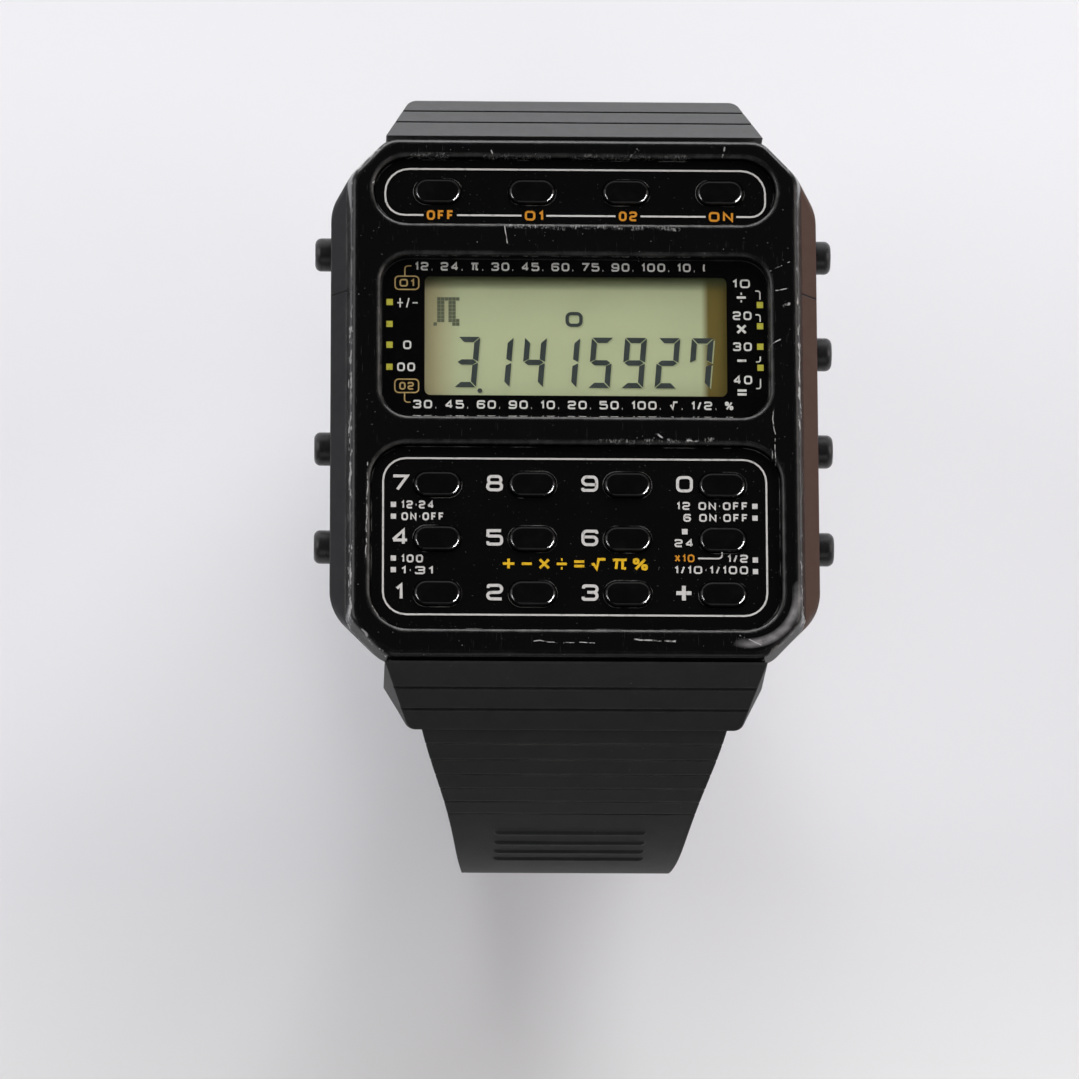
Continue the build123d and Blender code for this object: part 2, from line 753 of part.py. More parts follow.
# Case back plate with four slotted screws
with BuildPart() as case_back:
    with BuildSketch(Plane.XY):
        RectangleRounded(back_width, back_length, back_corner_radius)
    extrude(amount=back_thickness)
    chamfer(case_back.faces().sort_by(Axis.Z)[0].edges(), back_edge_chamfer)
    with BuildSketch(Plane.XY):
        with GridLocations(2 * back_screw_x, 2 * back_screw_y, 2, 2):
            Circle(screw_diameter / 2 + slide_clearance)
    extrude(amount=back_thickness, mode=Mode.SUBTRACT)
    with BuildSketch(Plane.XY):
        with GridLocations(2 * back_screw_x, 2 * back_screw_y, 2, 2):
            Circle(screw_head_diameter / 2 + slide_clearance)
    extrude(amount=screw_head_height, mode=Mode.SUBTRACT)
save(case_back, "case_back")

with BuildPart() as case_back_screws:
    with BuildSketch(Plane.XY.offset(contact_gap)):
        with GridLocations(2 * back_screw_x, 2 * back_screw_y, 2, 2):
            Circle(screw_head_diameter / 2)
    extrude(amount=screw_head_height - contact_gap)
    with BuildSketch(Plane.XY.offset(screw_head_height)):
        with GridLocations(2 * back_screw_x, 2 * back_screw_y, 2, 2):
            Circle(screw_diameter / 2)
    extrude(amount=back_screw_length - screw_head_height)
    with BuildSketch(Plane.XY):
        with GridLocations(2 * back_screw_x, 2 * back_screw_y, 2, 2):
            Rectangle(screw_head_diameter, slot_blade)
    extrude(amount=screw_head_height * slot_depth_share, mode=Mode.SUBTRACT)
save(case_back_screws, "case_back_screws")

with BuildPart() as case_gasket:
    with BuildSketch(Plane.XY.offset(back_thickness)):
        for margin, mode in (
            (gasket_inset + gasket_width - gasket_squeeze, Mode.ADD),
            (gasket_inset + gasket_squeeze, Mode.SUBTRACT),
        ):
            add(cut_cornered(
                cavity_width + 2 * margin,
                cavity_lower_length + 2 * margin,
                cavity_lower_corner,
                cavity_lower_corner,
                cavity_corner_radius + margin,
            ), mode=mode)
    extrude(amount=gasket_height)
save(case_gasket, "case_gasket")

# Side pushers: head, rod and retaining clip; the second on the left is flush with the wall
for side_name, side in (("left", -1), ("right", 1)):
    for place, y in enumerate(pusher_y):
        flush = side_name == "left" and place == 1
        reach = pusher_flush_reach if flush else pusher_reach
        with BuildPart() as pusher:
            with BuildSketch(Plane.YZ.offset(side * pusher_shoulder)):
                with Locations((y, pusher_z)):
                    Circle(pusher_diameter / 2)
            extrude(amount=side * (reach - pusher_shoulder))
            if not flush:
                fillet(
                    pusher.faces().sort_by(Axis.X)[-1 if side > 0 else 0].edges(), pusher_tip_radius
                )
            with BuildSketch(Plane.YZ.offset(side * rod_reach)):
                with Locations((y, pusher_z)):
                    Circle(rod_diameter / 2)
            extrude(amount=side * (pusher_shoulder - rod_reach))
            # Groove round the rod, and the open clip that sits in it
            with BuildSketch(Plane.YZ.offset(side * clip_x)):
                with Locations((y, pusher_z)):
                    Circle(clip_outer_diameter / 2)
                    Circle(clip_groove_diameter / 2, mode=Mode.SUBTRACT)
            extrude(amount=side * clip_thickness, mode=Mode.SUBTRACT)
            with BuildSketch(Plane.YZ.offset(side * (clip_x + contact_gap / 2))):
                with Locations((y, pusher_z)):
                    Circle(clip_outer_diameter / 2)
                    Circle(clip_groove_diameter / 2 + contact_gap, mode=Mode.SUBTRACT)
                with Locations((y, pusher_z - clip_outer_diameter / 2)):
                    Rectangle(clip_gap_width, clip_outer_diameter, mode=Mode.SUBTRACT)
            extrude(amount=side * (clip_thickness - contact_gap))
        save(pusher, f"pusher_{side_name}_{place + 1}")

# O-rings on the rods at the bore floors
seal_radius = rod_diameter / 2 + contact_gap + seal_section / 2
with BuildPart() as pusher_seals:
    for side in (1, -1):
        for y in pusher_y:
            seal_x = side * (pusher_bore_floor + contact_gap + seal_section / 2)
            with Locations(Plane((seal_x, y, pusher_z), z_dir=(1, 0, 0))):
                Torus(seal_radius, seal_section / 2)
save(pusher_seals, "pusher_seals")

# Return springs between the bore floors and the pusher heads
with BuildPart() as pusher_springs:
    for side in (1, -1):
        for y in pusher_y:
            add(coil(
                (side * (pusher_bore_floor + contact_gap), y, pusher_z),
                (side, 0, 0),
                (spring_diameter - spring_wire) / 2,
                spring_wire,
                pusher_shoulder - pusher_bore_floor - 2 * contact_gap,
                spring_turns,
            ))
save(pusher_springs, "pusher_springs")

# Spring bars: a barrel between the slot walls and two sprung tips
for name, side in (("spring_bar_upper", 1), ("spring_bar_lower", -1)):
    with BuildPart() as spring_bar:
        with BuildSketch(Plane.YZ):
            with Locations((side * bar_y, bar_z)):
                Circle(bar_diameter / 2)
        extrude(amount=tongue_width / 2, both=True)
        with BuildSketch(Plane.YZ):
            with Locations((side * bar_y, bar_z)):
                Circle(bar_tip_diameter / 2)
        extrude(amount=slot_width / 2 + bar_tip_length, both=True)
    save(spring_bar, name)

# Strap route in the YZ plane, written for the upper half and mirrored for the lower one.
# An angle of the route is that of the surface's fall below the face plane.
head_start_y = case_length / 2 + head_gap
head_end_y = head_start_y + head_length * cos(radians(head_slope))
head_end_z = head_top_z - head_length * sin(radians(head_slope))
strap_start_y = head_end_y - head_step * sin(radians(strap_start_slope))
strap_start_z = head_end_z - head_step * cos(radians(strap_start_slope))


def along(centre, radius, angle):
    """Point of a turn where the surface has fallen by this angle."""
    return (centre[0] + radius * sin(radians(angle)), centre[1] + radius * cos(radians(angle)))


side_centre = along((strap_start_y, strap_start_z), -strap_side_radius, strap_start_slope)
turn_y, turn_z = along(side_centre, strap_side_radius, strap_turn_angle)
turn_rise = 1 + cos(radians(strap_turn_angle))
flat_outer_z = turn_z - strap_corner_radius * turn_rise
lower_flat_outer_z = flat_outer_z - layer_gap - strap_thickness
lower_corner = (turn_z - lower_flat_outer_z) / turn_rise
upper_centre = along((turn_y, turn_z), -strap_corner_radius, strap_turn_angle)
lower_centre = along((turn_y, turn_z), -lower_corner, strap_turn_angle)
# The upper half falls straight from its head and bends to the same turn
upper_start_y = head_end_y - head_step * sin(radians(upper_start_slope))
upper_start_z = head_end_z - head_step * cos(radians(upper_start_slope))
upper_cos, upper_sin = cos(radians(upper_start_slope)), sin(radians(upper_start_slope))
bend_reach = sin(radians(strap_turn_angle)) - upper_sin
bend_fall = upper_cos - cos(radians(strap_turn_angle))
upper_reach = turn_y - upper_start_y
upper_fall = upper_start_z - turn_z
upper_bend_radius = (upper_fall * upper_cos - upper_reach * upper_sin) / (
    bend_fall * upper_cos - bend_reach * upper_sin
)
upper_straight = (upper_reach - upper_bend_radius * bend_reach) / upper_cos
bend_start = (upper_start_y + upper_straight * upper_cos, upper_start_z - upper_straight * upper_sin)
upper_bend_centre = along(bend_start, -upper_bend_radius, upper_start_slope)
upper_sweep = strap_turn_angle - upper_start_slope
curl_radius = strap_corner_radius + layer_gap + strap_thickness
tip_curl_angle = degrees(tip_curl_length / curl_radius)
side_sweep = strap_turn_angle - strap_start_slope
corner_sweep = 180 - strap_turn_angle


def strap_head(side):
    """Stepped head with grooves between its ribs, and the tongue with its spring bar hole."""
    if side > 0:
        inner_y, inner_z = along((upper_start_y, upper_start_z), -strap_thickness, upper_start_slope)
    else:
        inner_y, inner_z = along((strap_start_y, strap_start_z), -strap_thickness, strap_start_slope)
    with BuildPart() as head:
        with BuildSketch(Plane.YZ):
            with BuildLine():
                Polyline(
                    (side * head_start_y, head_top_z),
                    (side * head_end_y, head_end_z),
                    (side * inner_y, inner_z),
                    (side * head_start_y, head_bottom_z),
                    close=True,
                )
            make_face()
            for distance in (rib_first, rib_second):
                rib_y = head_start_y + distance * cos(radians(head_slope))
                rib_z = head_top_z - distance * sin(radians(head_slope))
                with Locations(Location((side * rib_y, rib_z), -side * head_slope)):
                    Rectangle(rib_cut_width, 2 * rib_cut_depth, mode=Mode.SUBTRACT)
        extrude(amount=head_width / 2, both=True)
        # Plan outline: shoulders against the case, narrowing to rounded ends
        with BuildSketch(Plane.XY.offset(-overrun)) as plan:
            with BuildLine():
                Polyline(
                    (head_width / 2, side * head_start_y),
                    (head_end_width / 2, side * head_end_y),
                    (-head_end_width / 2, side * head_end_y),
                    (-head_width / 2, side * head_start_y),
                    close=True,
                )
            make_face()
            far_corners = plan.vertices().group_by(Axis.Y)[-1 if side > 0 else 0]
            fillet(far_corners, head_corner_radius)
        extrude(amount=head_top_z + 2 * overrun, mode=Mode.INTERSECT)
        # Tongue in the slot of the case
        with BuildSketch(Plane.YZ):
            with Locations((side * bar_y, bar_z)):
                Circle(tongue_thickness / 2)
            with Locations((side * (bar_y + head_start_y + head_gap) / 2, bar_z)):
                Rectangle(head_start_y + head_gap - bar_y, tongue_thickness)
        extrude(amount=tongue_width / 2, both=True)
        with BuildSketch(Plane.YZ):
            with Locations((side * bar_y, bar_z)):
                Circle(bar_diameter / 2 + contact_gap)
        extrude(amount=tongue_width / 2 + overrun, both=True, mode=Mode.SUBTRACT)
    return head.part


def side_mask():
    """Front view outline that narrows the strap from its head to its flat."""
    start = (strap_top_width / 2, head_end_z)
    second = (strap_upper_width / 2, head_end_z - strap_upper_drop)
    with BuildSketch(Plane.XZ) as mask:
        with BuildLine():
            edge = Spline(
                start,
                second,
                (strap_middle_width / 2, head_end_z - strap_middle_drop),
                (strap_end_width / 2, head_end_z - strap_end_drop),
                tangents=(Vector(*second) - Vector(*start), (0, -1)),
            )
            Polyline((0, head_top_z), (strap_top_width / 2, head_top_z), start)
            Polyline(
                edge @ 1,
                (strap_end_width / 2, lower_flat_outer_z - overrun),
                (0, lower_flat_outer_z - overrun),
            )
            mirror(about=Plane.YZ)
        make_face()
    return mask.sketch


def fine_ribs(side):
    """Shallow grooves across the strap below its head."""
    for count in range(1, fine_rib_count + 1):
        if side > 0:
            angle = upper_start_slope
            y = upper_start_y + count * fine_rib_pitch * upper_cos
            z = upper_start_z - count * fine_rib_pitch * upper_sin
        else:
            angle = strap_start_slope + degrees(count * fine_rib_pitch / strap_side_radius)
            y, z = along(side_centre, strap_side_radius, angle)
        with Locations(Location((side * y, z), -side * angle)):
            Rectangle(fine_rib_width, 2 * fine_rib_depth, mode=Mode.SUBTRACT)


# Upper strap half: down the far side, round under the wrist, ending in a knuckle at the buckle bar
knuckle_radius = strap_thickness / 2
buckle_bar_z = flat_outer_z + knuckle_radius
with BuildPart() as strap_upper:
    with BuildSketch(Plane.YZ):
        with BuildLine():
            outer_bend = CenterArc(upper_bend_centre, upper_bend_radius, 90 - upper_start_slope, -upper_sweep)
            Line((upper_start_y, upper_start_z), outer_bend @ 0)
            outer_turn = CenterArc(
                upper_centre, strap_corner_radius, 90 - strap_turn_angle, -corner_sweep
            )
            Line(outer_turn @ 1, (buckle_bar_y, flat_outer_z))
            Line((buckle_bar_y, flat_outer_z), (buckle_bar_y, flat_outer_z + strap_thickness))
            inner_turn = CenterArc(
                upper_centre, strap_corner_radius - strap_thickness, -90, corner_sweep
            )
            inner_bend = CenterArc(
                upper_bend_centre, upper_bend_radius - strap_thickness, 90 - strap_turn_angle, upper_sweep
            )
            Line((buckle_bar_y, flat_outer_z + strap_thickness), inner_turn @ 0)
            inner_start = along((upper_start_y, upper_start_z), -strap_thickness, upper_start_slope)
            Line(inner_bend @ 1, inner_start)
            Line(inner_start, (upper_start_y, upper_start_z))
        make_face()
        with Locations((buckle_bar_y, buckle_bar_z)):
            Circle(knuckle_radius)
            Circle(buckle_bar_diameter / 2 + contact_gap, mode=Mode.SUBTRACT)
        fine_ribs(1)
    extrude(amount=strap_top_width / 2, both=True)
    with BuildSketch(Plane.XZ):
        add(side_mask())
    extrude(amount=side_centre[0] + strap_side_radius + overrun, both=True, mode=Mode.INTERSECT)
    # Notch that leaves room for the prong
    with BuildSketch(Plane.XY.offset(flat_outer_z - overrun)):
        with Locations((0, buckle_bar_y)):
            Rectangle(prong_notch_width, 2 * strap_thickness)
    extrude(amount=strap_thickness + 2 * overrun, mode=Mode.SUBTRACT)
    add(strap_head(1))
save(strap_upper, "strap_upper")

# Lower strap half: outside the upper one along the flat, its tip curling up round the corner
hole_centres = [buckle_bar_y + knuckle_radius + hole_pitch * count for count in (-2, -1, 0, 1)]
with BuildPart() as strap_lower:
    with BuildSketch(Plane.YZ):
        with BuildLine():
            outer_side = CenterArc(
                (-side_centre[0], side_centre[1]), strap_side_radius, 90 + strap_start_slope, side_sweep
            )
            outer_turn = CenterArc(
                (-lower_centre[0], lower_centre[1]), lower_corner, 90 + strap_turn_angle, corner_sweep
            )
            outer_curl = CenterArc(upper_centre, curl_radius, -90, tip_curl_angle)
            Line(outer_turn @ 1, outer_curl @ 0)
            inner_curl = CenterArc(
                upper_centre, curl_radius - strap_thickness, tip_curl_angle - 90, -tip_curl_angle
            )
            Line(outer_curl @ 1, inner_curl @ 0)
            inner_turn = CenterArc(
                (-lower_centre[0], lower_centre[1]), lower_corner - strap_thickness, 270, -corner_sweep
            )
            Line(inner_curl @ 1, inner_turn @ 0)
            inner_side = CenterArc(
                (-side_centre[0], side_centre[1]),
                strap_side_radius - strap_thickness,
                90 + strap_turn_angle,
                -side_sweep,
            )
            Line(inner_side @ 1, outer_side @ 0)
        make_face()
        fine_ribs(-1)
    extrude(amount=strap_top_width / 2, both=True)
    with BuildSketch(Plane.XZ):
        add(side_mask())
    extrude(amount=side_centre[0] + strap_side_radius + overrun, both=True, mode=Mode.INTERSECT)
    # Adjustment slots along the flat
    with BuildSketch(Plane.XY.offset(lower_flat_outer_z - overrun)):
        with Locations(*[(0, y) for y in hole_centres]):
            SlotOverall(hole_length, hole_width, rotation=90)
    extrude(amount=strap_thickness + 2 * overrun, mode=Mode.SUBTRACT)
    tip_edges = strap_lower.edges().filter_by(
        lambda edge: abs(edge.length - strap_thickness) < contact_gap
        and edge.center().Y > upper_centre[0] + strap_thickness
    )
    fillet(tip_edges, tip_radius)
    add(strap_head(-1))
save(strap_lower, "strap_lower")

# Buckle bar through the knuckle, its ends riveted in the frame's arms
arm_inner_x = strap_end_width / 2 + buckle_side_clearance
with BuildPart() as buckle_bar:
    with BuildSketch(Plane.YZ):
        with Locations((buckle_bar_y, buckle_bar_z)):
            Circle(buckle_bar_diameter / 2)
    extrude(amount=arm_inner_x + buckle_wire, both=True)
save(buckle_bar, "buckle_bar")

# Buckle frame: two arms from the bar down past the strap to a cross bar outside it
cross_z = lower_flat_outer_z - loose_clearance - buckle_wire / 2
cross_y = buckle_bar_y - buckle_reach
arm_angle = degrees(atan2(cross_z - buckle_bar_z, cross_y - buckle_bar_y))
arm_length = hypot(cross_z - buckle_bar_z, cross_y - buckle_bar_y)
with BuildPart() as buckle_frame:
    with BuildSketch(Plane.YZ.offset(arm_inner_x)):
        with Locations(Location(((buckle_bar_y + cross_y) / 2, (buckle_bar_z + cross_z) / 2), arm_angle)):
            SlotCenterToCenter(arm_length, 2 * buckle_wire)
        with Locations((buckle_bar_y, buckle_bar_z)):
            Circle(buckle_bar_diameter / 2 + contact_gap, mode=Mode.SUBTRACT)
    extrude(amount=buckle_wire)
    mirror(about=Plane.YZ)
    with BuildSketch(Plane.YZ):
        with Locations((cross_y, cross_z)):
            Circle(buckle_wire / 2)
    extrude(amount=arm_inner_x + buckle_wire / 2, both=True)
save(buckle_frame, "buckle_frame")

# Buckle prong: a ring on the bar, a leg out through the strap, and a finger lying on the cross bar
ring_radius = buckle_bar_diameter / 2 + contact_gap + prong_wall
finger_top_z = cross_z - buckle_wire / 2 - contact_gap
with BuildPart() as buckle_prong:
    with BuildSketch(Plane.YZ):
        with Locations((buckle_bar_y, buckle_bar_z)):
            Circle(ring_radius)
        with Locations((buckle_bar_y, (buckle_bar_z + finger_top_z - prong_thickness) / 2)):
            Rectangle(prong_thickness, buckle_bar_z - finger_top_z + prong_thickness)
        finger_end_y = cross_y - buckle_wire
        finger_start_y = buckle_bar_y + prong_thickness / 2
        with Locations(((finger_start_y + finger_end_y) / 2, finger_top_z - prong_thickness / 2)):
            Rectangle(finger_start_y - finger_end_y, prong_thickness)
        with Locations((buckle_bar_y, buckle_bar_z)):
            Circle(buckle_bar_diameter / 2 + contact_gap, mode=Mode.SUBTRACT)
    extrude(amount=prong_width / 2, both=True)
save(buckle_prong, "buckle_prong")

# Keeper: a flat loop round both strap layers
keeper_inner_top = flat_outer_z + strap_thickness + keeper_clearance
keeper_inner_bottom = lower_flat_outer_z - keeper_clearance
keeper_inner_width = strap_end_width + 2 * keeper_clearance
with BuildPart() as strap_keeper:
    with BuildSketch(Plane.XZ.offset(-keeper_y + keeper_width / 2)):
        with Locations((0, (keeper_inner_top + keeper_inner_bottom) / 2)):
            RectangleRounded(
                keeper_inner_width + 2 * keeper_wall,
                keeper_inner_top - keeper_inner_bottom + 2 * keeper_wall,
                keeper_wall,
            )
            Rectangle(keeper_inner_width, keeper_inner_top - keeper_inner_bottom, mode=Mode.SUBTRACT)
    extrude(amount=-keeper_width)
save(strap_keeper, "strap_keeper")
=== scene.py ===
from math import cos, pi, radians, sin

import bmesh
import bpy
from mathutils import Matrix, Vector


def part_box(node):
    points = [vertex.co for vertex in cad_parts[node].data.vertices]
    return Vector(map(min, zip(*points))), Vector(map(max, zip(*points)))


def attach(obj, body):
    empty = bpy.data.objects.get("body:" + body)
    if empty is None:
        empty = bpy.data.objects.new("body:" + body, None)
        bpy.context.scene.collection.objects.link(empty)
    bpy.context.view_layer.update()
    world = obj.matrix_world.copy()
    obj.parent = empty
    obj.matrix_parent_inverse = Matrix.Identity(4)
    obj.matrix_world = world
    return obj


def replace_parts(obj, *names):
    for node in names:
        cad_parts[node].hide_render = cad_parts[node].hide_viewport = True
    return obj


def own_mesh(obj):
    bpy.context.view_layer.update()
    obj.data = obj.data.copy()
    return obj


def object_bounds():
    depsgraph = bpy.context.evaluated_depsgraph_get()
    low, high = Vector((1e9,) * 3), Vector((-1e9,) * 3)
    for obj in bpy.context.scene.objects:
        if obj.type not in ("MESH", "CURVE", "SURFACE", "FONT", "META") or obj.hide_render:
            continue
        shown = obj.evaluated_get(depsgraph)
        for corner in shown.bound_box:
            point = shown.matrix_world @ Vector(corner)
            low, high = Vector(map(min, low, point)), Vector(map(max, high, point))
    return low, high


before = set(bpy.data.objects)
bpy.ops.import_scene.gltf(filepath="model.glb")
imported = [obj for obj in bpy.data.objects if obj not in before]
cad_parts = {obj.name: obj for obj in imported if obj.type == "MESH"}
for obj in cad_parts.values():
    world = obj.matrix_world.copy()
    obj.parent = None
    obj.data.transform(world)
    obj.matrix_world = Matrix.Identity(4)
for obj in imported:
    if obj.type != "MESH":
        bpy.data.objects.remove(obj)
cad_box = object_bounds()
mm = 0.001

# Camera. The watch is seen from above its lower end, with a long lens, 600 mm from the face.
# Its frame is 1079 pixels square and the middle of the face stands up and right of the centre.
frame_pixels = 1079
focal_pixels = 7944
camera_distance = 600 * mm
camera_tilt = radians(16.0)
camera_yaw = radians(-2.0)
camera_roll = radians(-0.2)
face_pixel_x, face_pixel_y = 575.5, 396.8
face_point = Vector((0, 0, 9.5 * mm))
away = Matrix.Rotation(camera_yaw, 3, "Y") @ Vector((0, -sin(camera_tilt), cos(camera_tilt)))
right = (Matrix.Rotation(camera_roll, 3, away) @ Vector((0, 1, 0)).cross(away)).normalized()
up = away.cross(right)
pixel = camera_distance / focal_pixels
aim = (
    face_point
    - right * (face_pixel_x - frame_pixels / 2) * pixel
    - up * (frame_pixels / 2 - face_pixel_y) * pixel
)
camera_data = bpy.data.cameras.new("camera")
camera_data.sensor_width = 36
camera_data.lens = focal_pixels * camera_data.sensor_width / frame_pixels
camera = bpy.data.objects.new("camera", camera_data)
bpy.context.scene.collection.objects.link(camera)
camera.location = face_point + away * camera_distance
look = (camera.location - aim).normalized()
side_way = (right - look * right.dot(look)).normalized()
camera.rotation_euler = Matrix((side_way, look.cross(side_way), look)).transposed().to_euler()
bpy.context.scene.camera = camera
bpy.context.scene.view_settings.view_transform = "Standard"

# Studio. A pale floor under the buckle and an overcast room for a world: darker overhead and in
# front, and brighter behind. Four large soft lamps light every surface, and three more show only in
# reflections: a low one behind on the strap and bezel, and two narrow ones in front on the keys.
floor_colour = (0.865, 0.865, 0.90)
front_floor_painted_light_colour = (0.94, 0.945, 0.94)
front_colour = (0.22, 0.22, 0.23)
room_sides = (
    ("Y", -0.8, 0.1, (0.82, 0.82, 0.85)), ("Y", 0.45, 0.85, (2.0, 2.0, 2.05)),
    ("X", 0.4, 0.9, (0.42, 0.36, 0.33)), ("Z", 0.45, 0.8, (0.05, 0.05, 0.055)),
)
room_strength = 0.55


def add_object(name, data):
    """Object of this name in the scene, holding this mesh or lamp."""
    made = bpy.data.objects.new(name, data)
    bpy.context.scene.collection.objects.link(made)
    return made


class Nodes:
    """The shader nodes of one tree; a call adds nodes and gives an output that others can use."""

    def __init__(self, tree):
        self.tree = tree

    def add(self, kind, **values):
        """Shader node; a value goes to the input of that name, or to the setting."""
        made = self.tree.nodes.new("ShaderNode" + kind)
        for key, value in values.items():
            label = key.replace("_", " ")
            if label in made.inputs:
                made.inputs[label].default_value = value
            else:
                setattr(made, key, value)
        return made

    def feed(self, socket, source):
        """Lead a source to a socket, or set it to a number, a place or a colour."""
        if isinstance(source, bpy.types.NodeSocket):
            self.tree.links.new(source, socket)
        elif socket.type == "RGBA":
            socket.default_value = (*source, 1)
        else:
            socket.default_value = source

    def point(self, stretch=(1, 1, 1), turn=(0, 0, 0)):
        """Place on the object in metres, turned and then stretched."""
        mapping = self.add("Mapping", Scale=stretch, Rotation=turn)
        self.feed(mapping.inputs["Vector"], self.add("TexCoord").outputs["Object"])
        return mapping.outputs["Vector"]

    def axes(self, source):
        """The source's X, Y and Z."""
        made = self.add("SeparateXYZ")
        self.feed(made.inputs[0], source)
        return made.outputs

    def noise(self, size, stretch=(1, 1, 1), turn=(0, 0, 0), detail=3.0, rough=0.55):
        """Noise whose lumps are about this size in metres."""
        made = self.add("TexNoise", Scale=1 / size, Detail=detail, Roughness=rough)
        self.feed(made.inputs["Vector"], self.point(stretch, turn))
        return made.outputs["Fac"]

    def remap(self, source, low, high, to_low=0.0, to_high=1.0):
        """The source's range from low to high, brought to another range and held there."""
        made = self.add("MapRange", From_Min=low, From_Max=high, To_Min=to_low, To_Max=to_high)
        self.feed(made.inputs["Value"], source)
        return made.outputs["Result"]

    def uneven(self, size, low, high):
        """Value that wanders from low to high in clouds of this size in metres."""
        return self.remap(self.noise(size), 0.3, 0.7, low, high)

    def math(self, operation, *sources):
        """Arithmetic on sources and numbers, one after another."""
        total = sources[0]
        for source in sources[1:] or (0,):
            made = self.add("Math", operation=operation)
            self.feed(made.inputs[0], total)
            self.feed(made.inputs[1], source)
            total = made.outputs[0]
        return total

    def band(self, source, middle, reach, core):
        """1 where the source is within the core of its middle value, down to 0 at the reach."""
        gap = self.math("ABSOLUTE", self.math("SUBTRACT", source, middle))
        return self.remap(gap, reach, core)

    def vectors(self, operation, first, second):
        """Arithmetic on places; a dot product or a distance gives a number."""
        made = self.add("VectorMath", operation=operation)
        self.feed(made.inputs[0], first)
        self.feed(made.inputs["Scale" if operation == "SCALE" else 1], second)
        return made.outputs["Value" if operation in ("DOT_PRODUCT", "DISTANCE") else "Vector"]

    def mix(self, factor, first, second):
        """Colour between two colours or sources."""
        made = self.add("Mix", data_type="RGBA")
        for place, source in ((0, factor), (6, first), (7, second)):
            self.feed(made.inputs[place], source)
        return made.outputs[2]


class Surface(Nodes):
    """Material with one Principled shader."""

    def __init__(self, name, colour, roughness, metallic=0.0, specular=0.5):
        self.material = bpy.data.materials.new(name)
        self.material.use_nodes = True
        super().__init__(self.material.node_tree)
        self.shader = self.tree.nodes["Principled BSDF"]
        self.shader.inputs["Base Color"].default_value = (*colour, 1)
        self.shader.inputs["Roughness"].default_value = roughness
        self.shader.inputs["Metallic"].default_value = metallic
        self.shader.inputs["Specular IOR Level"].default_value = specular

    def give(self, label, source):
        """Feed this input of the shader."""
        self.feed(self.shader.inputs[label], source)

    def given(self, label):
        """What feeds this input of the shader so far."""
        return self.shader.inputs[label].links[0].from_socket

    def bump(self, height, depth):
        """Relief of this depth in metres, on top of any relief the shader has."""
        made = self.add("Bump", Distance=depth)
        self.feed(made.inputs["Height"], height)
        if self.shader.inputs["Normal"].is_linked:
            self.feed(made.inputs["Normal"], self.given("Normal"))
        self.give("Normal", made.outputs["Normal"])


def dress(surface, *node_names):
    """Give CAD nodes the material of this surface."""
    for node_name in node_names:
        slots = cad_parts[node_name].data.materials
        slots.clear()
        slots.append(surface.material)


ground = Surface("pale_floor", floor_colour, 0.85)
# Painted light: the floor grows paler in front of the watch, lifting the shade under the strap
ground_painted_light_nearness = ground.remap(ground.axes(ground.point())["Y"], -0.025, -0.06)
ground_cloud = ground.mix(ground.noise(0.15), floor_colour, (0.835, 0.835, 0.865))
ground.give("Base Color", ground.mix(ground_painted_light_nearness, ground_cloud, front_floor_painted_light_colour))
floor_drop = 4.5 * mm
floor_half = 1.6
floor_z = cad_box[0][2] - floor_drop
floor_mesh = bpy.data.meshes.new("floor")
floor_mesh.from_pydata(
    [(x * floor_half, y * floor_half, floor_z) for x, y in ((-1, -1), (1, -1), (1, 1), (-1, 1))],
    [], [(0, 1, 2, 3)],
)
floor_mesh.materials.append(ground.material)
add_object("floor", floor_mesh)

world = bpy.data.worlds.new("room")
world.use_nodes = True
bpy.context.scene.world = world
background = world.node_tree.nodes["Background"]
background.inputs["Strength"].default_value = room_strength
room = Nodes(world.node_tree)
direction = room.axes(room.add("TexCoord").outputs["Generated"])
seen = front_colour
for axis, low, high, colour in room_sides:
    seen = room.mix(room.remap(direction[axis], low, high), seen, colour)
room.feed(background.inputs["Color"], seen)


def add_lamp(name, place, size, power, colour=(1, 1, 1)):
    """Oblong soft lamp that faces the watch."""
    data = bpy.data.lights.new(name, "AREA")
    data.shape = "RECTANGLE"
    data.size, data.size_y = size
    data.energy = power
    data.color = colour
    lamp = add_object(name, data)
    lamp.location = place
    lamp.rotation_euler = (Vector(place) - face_point).to_track_quat("Z", "Y").to_euler()


add_lamp("lamp_behind", (0.3, 1.2, 0.75), (1.4, 0.8), 23)
add_lamp("lamp_left", (-1.1, 0.2, 0.75), (0.9, 1.0), 6)
add_lamp("lamp_right", (1.1, 0.1, 0.6), (0.8, 0.9), 5, (1, 0.93, 0.9))
add_lamp("lamp_front", (0.05, -1.2, 0.9), (1.2, 0.8), 2)
bpy.data.objects["lamp_behind"].visible_glossy = False
shining = {lit: bpy.data.collections.new(lit) for lit in ("key_glints", "sheen")}
for name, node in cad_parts.items():
    if name.startswith(("key_", "function_key_")) and name not in ("key_membrane", "key_circuit_board"):
        shining["key_glints"].objects.link(node)
    elif name.startswith("strap_") or name == "bezel":
        shining["sheen"].objects.link(node)
for name, place, size, power, lit in (
    ("sheen_behind", (0, 0.95, 0.4), (1.6, 0.5), 17, "sheen"),
    ("glint_right", (0.78, -0.36, 0.62), (0.9, 0.12), 110, "key_glints"),
    ("glint_left", (-0.84, -0.18, 0.6), (0.5, 0.08), 14, "key_glints"),
):
    add_lamp(name, place, size, power)
    bpy.data.objects[name].visible_diffuse = False
    bpy.data.objects[name].visible_transmission = False
    bpy.data.objects[name].light_linking.receiver_collection = shining[lit]
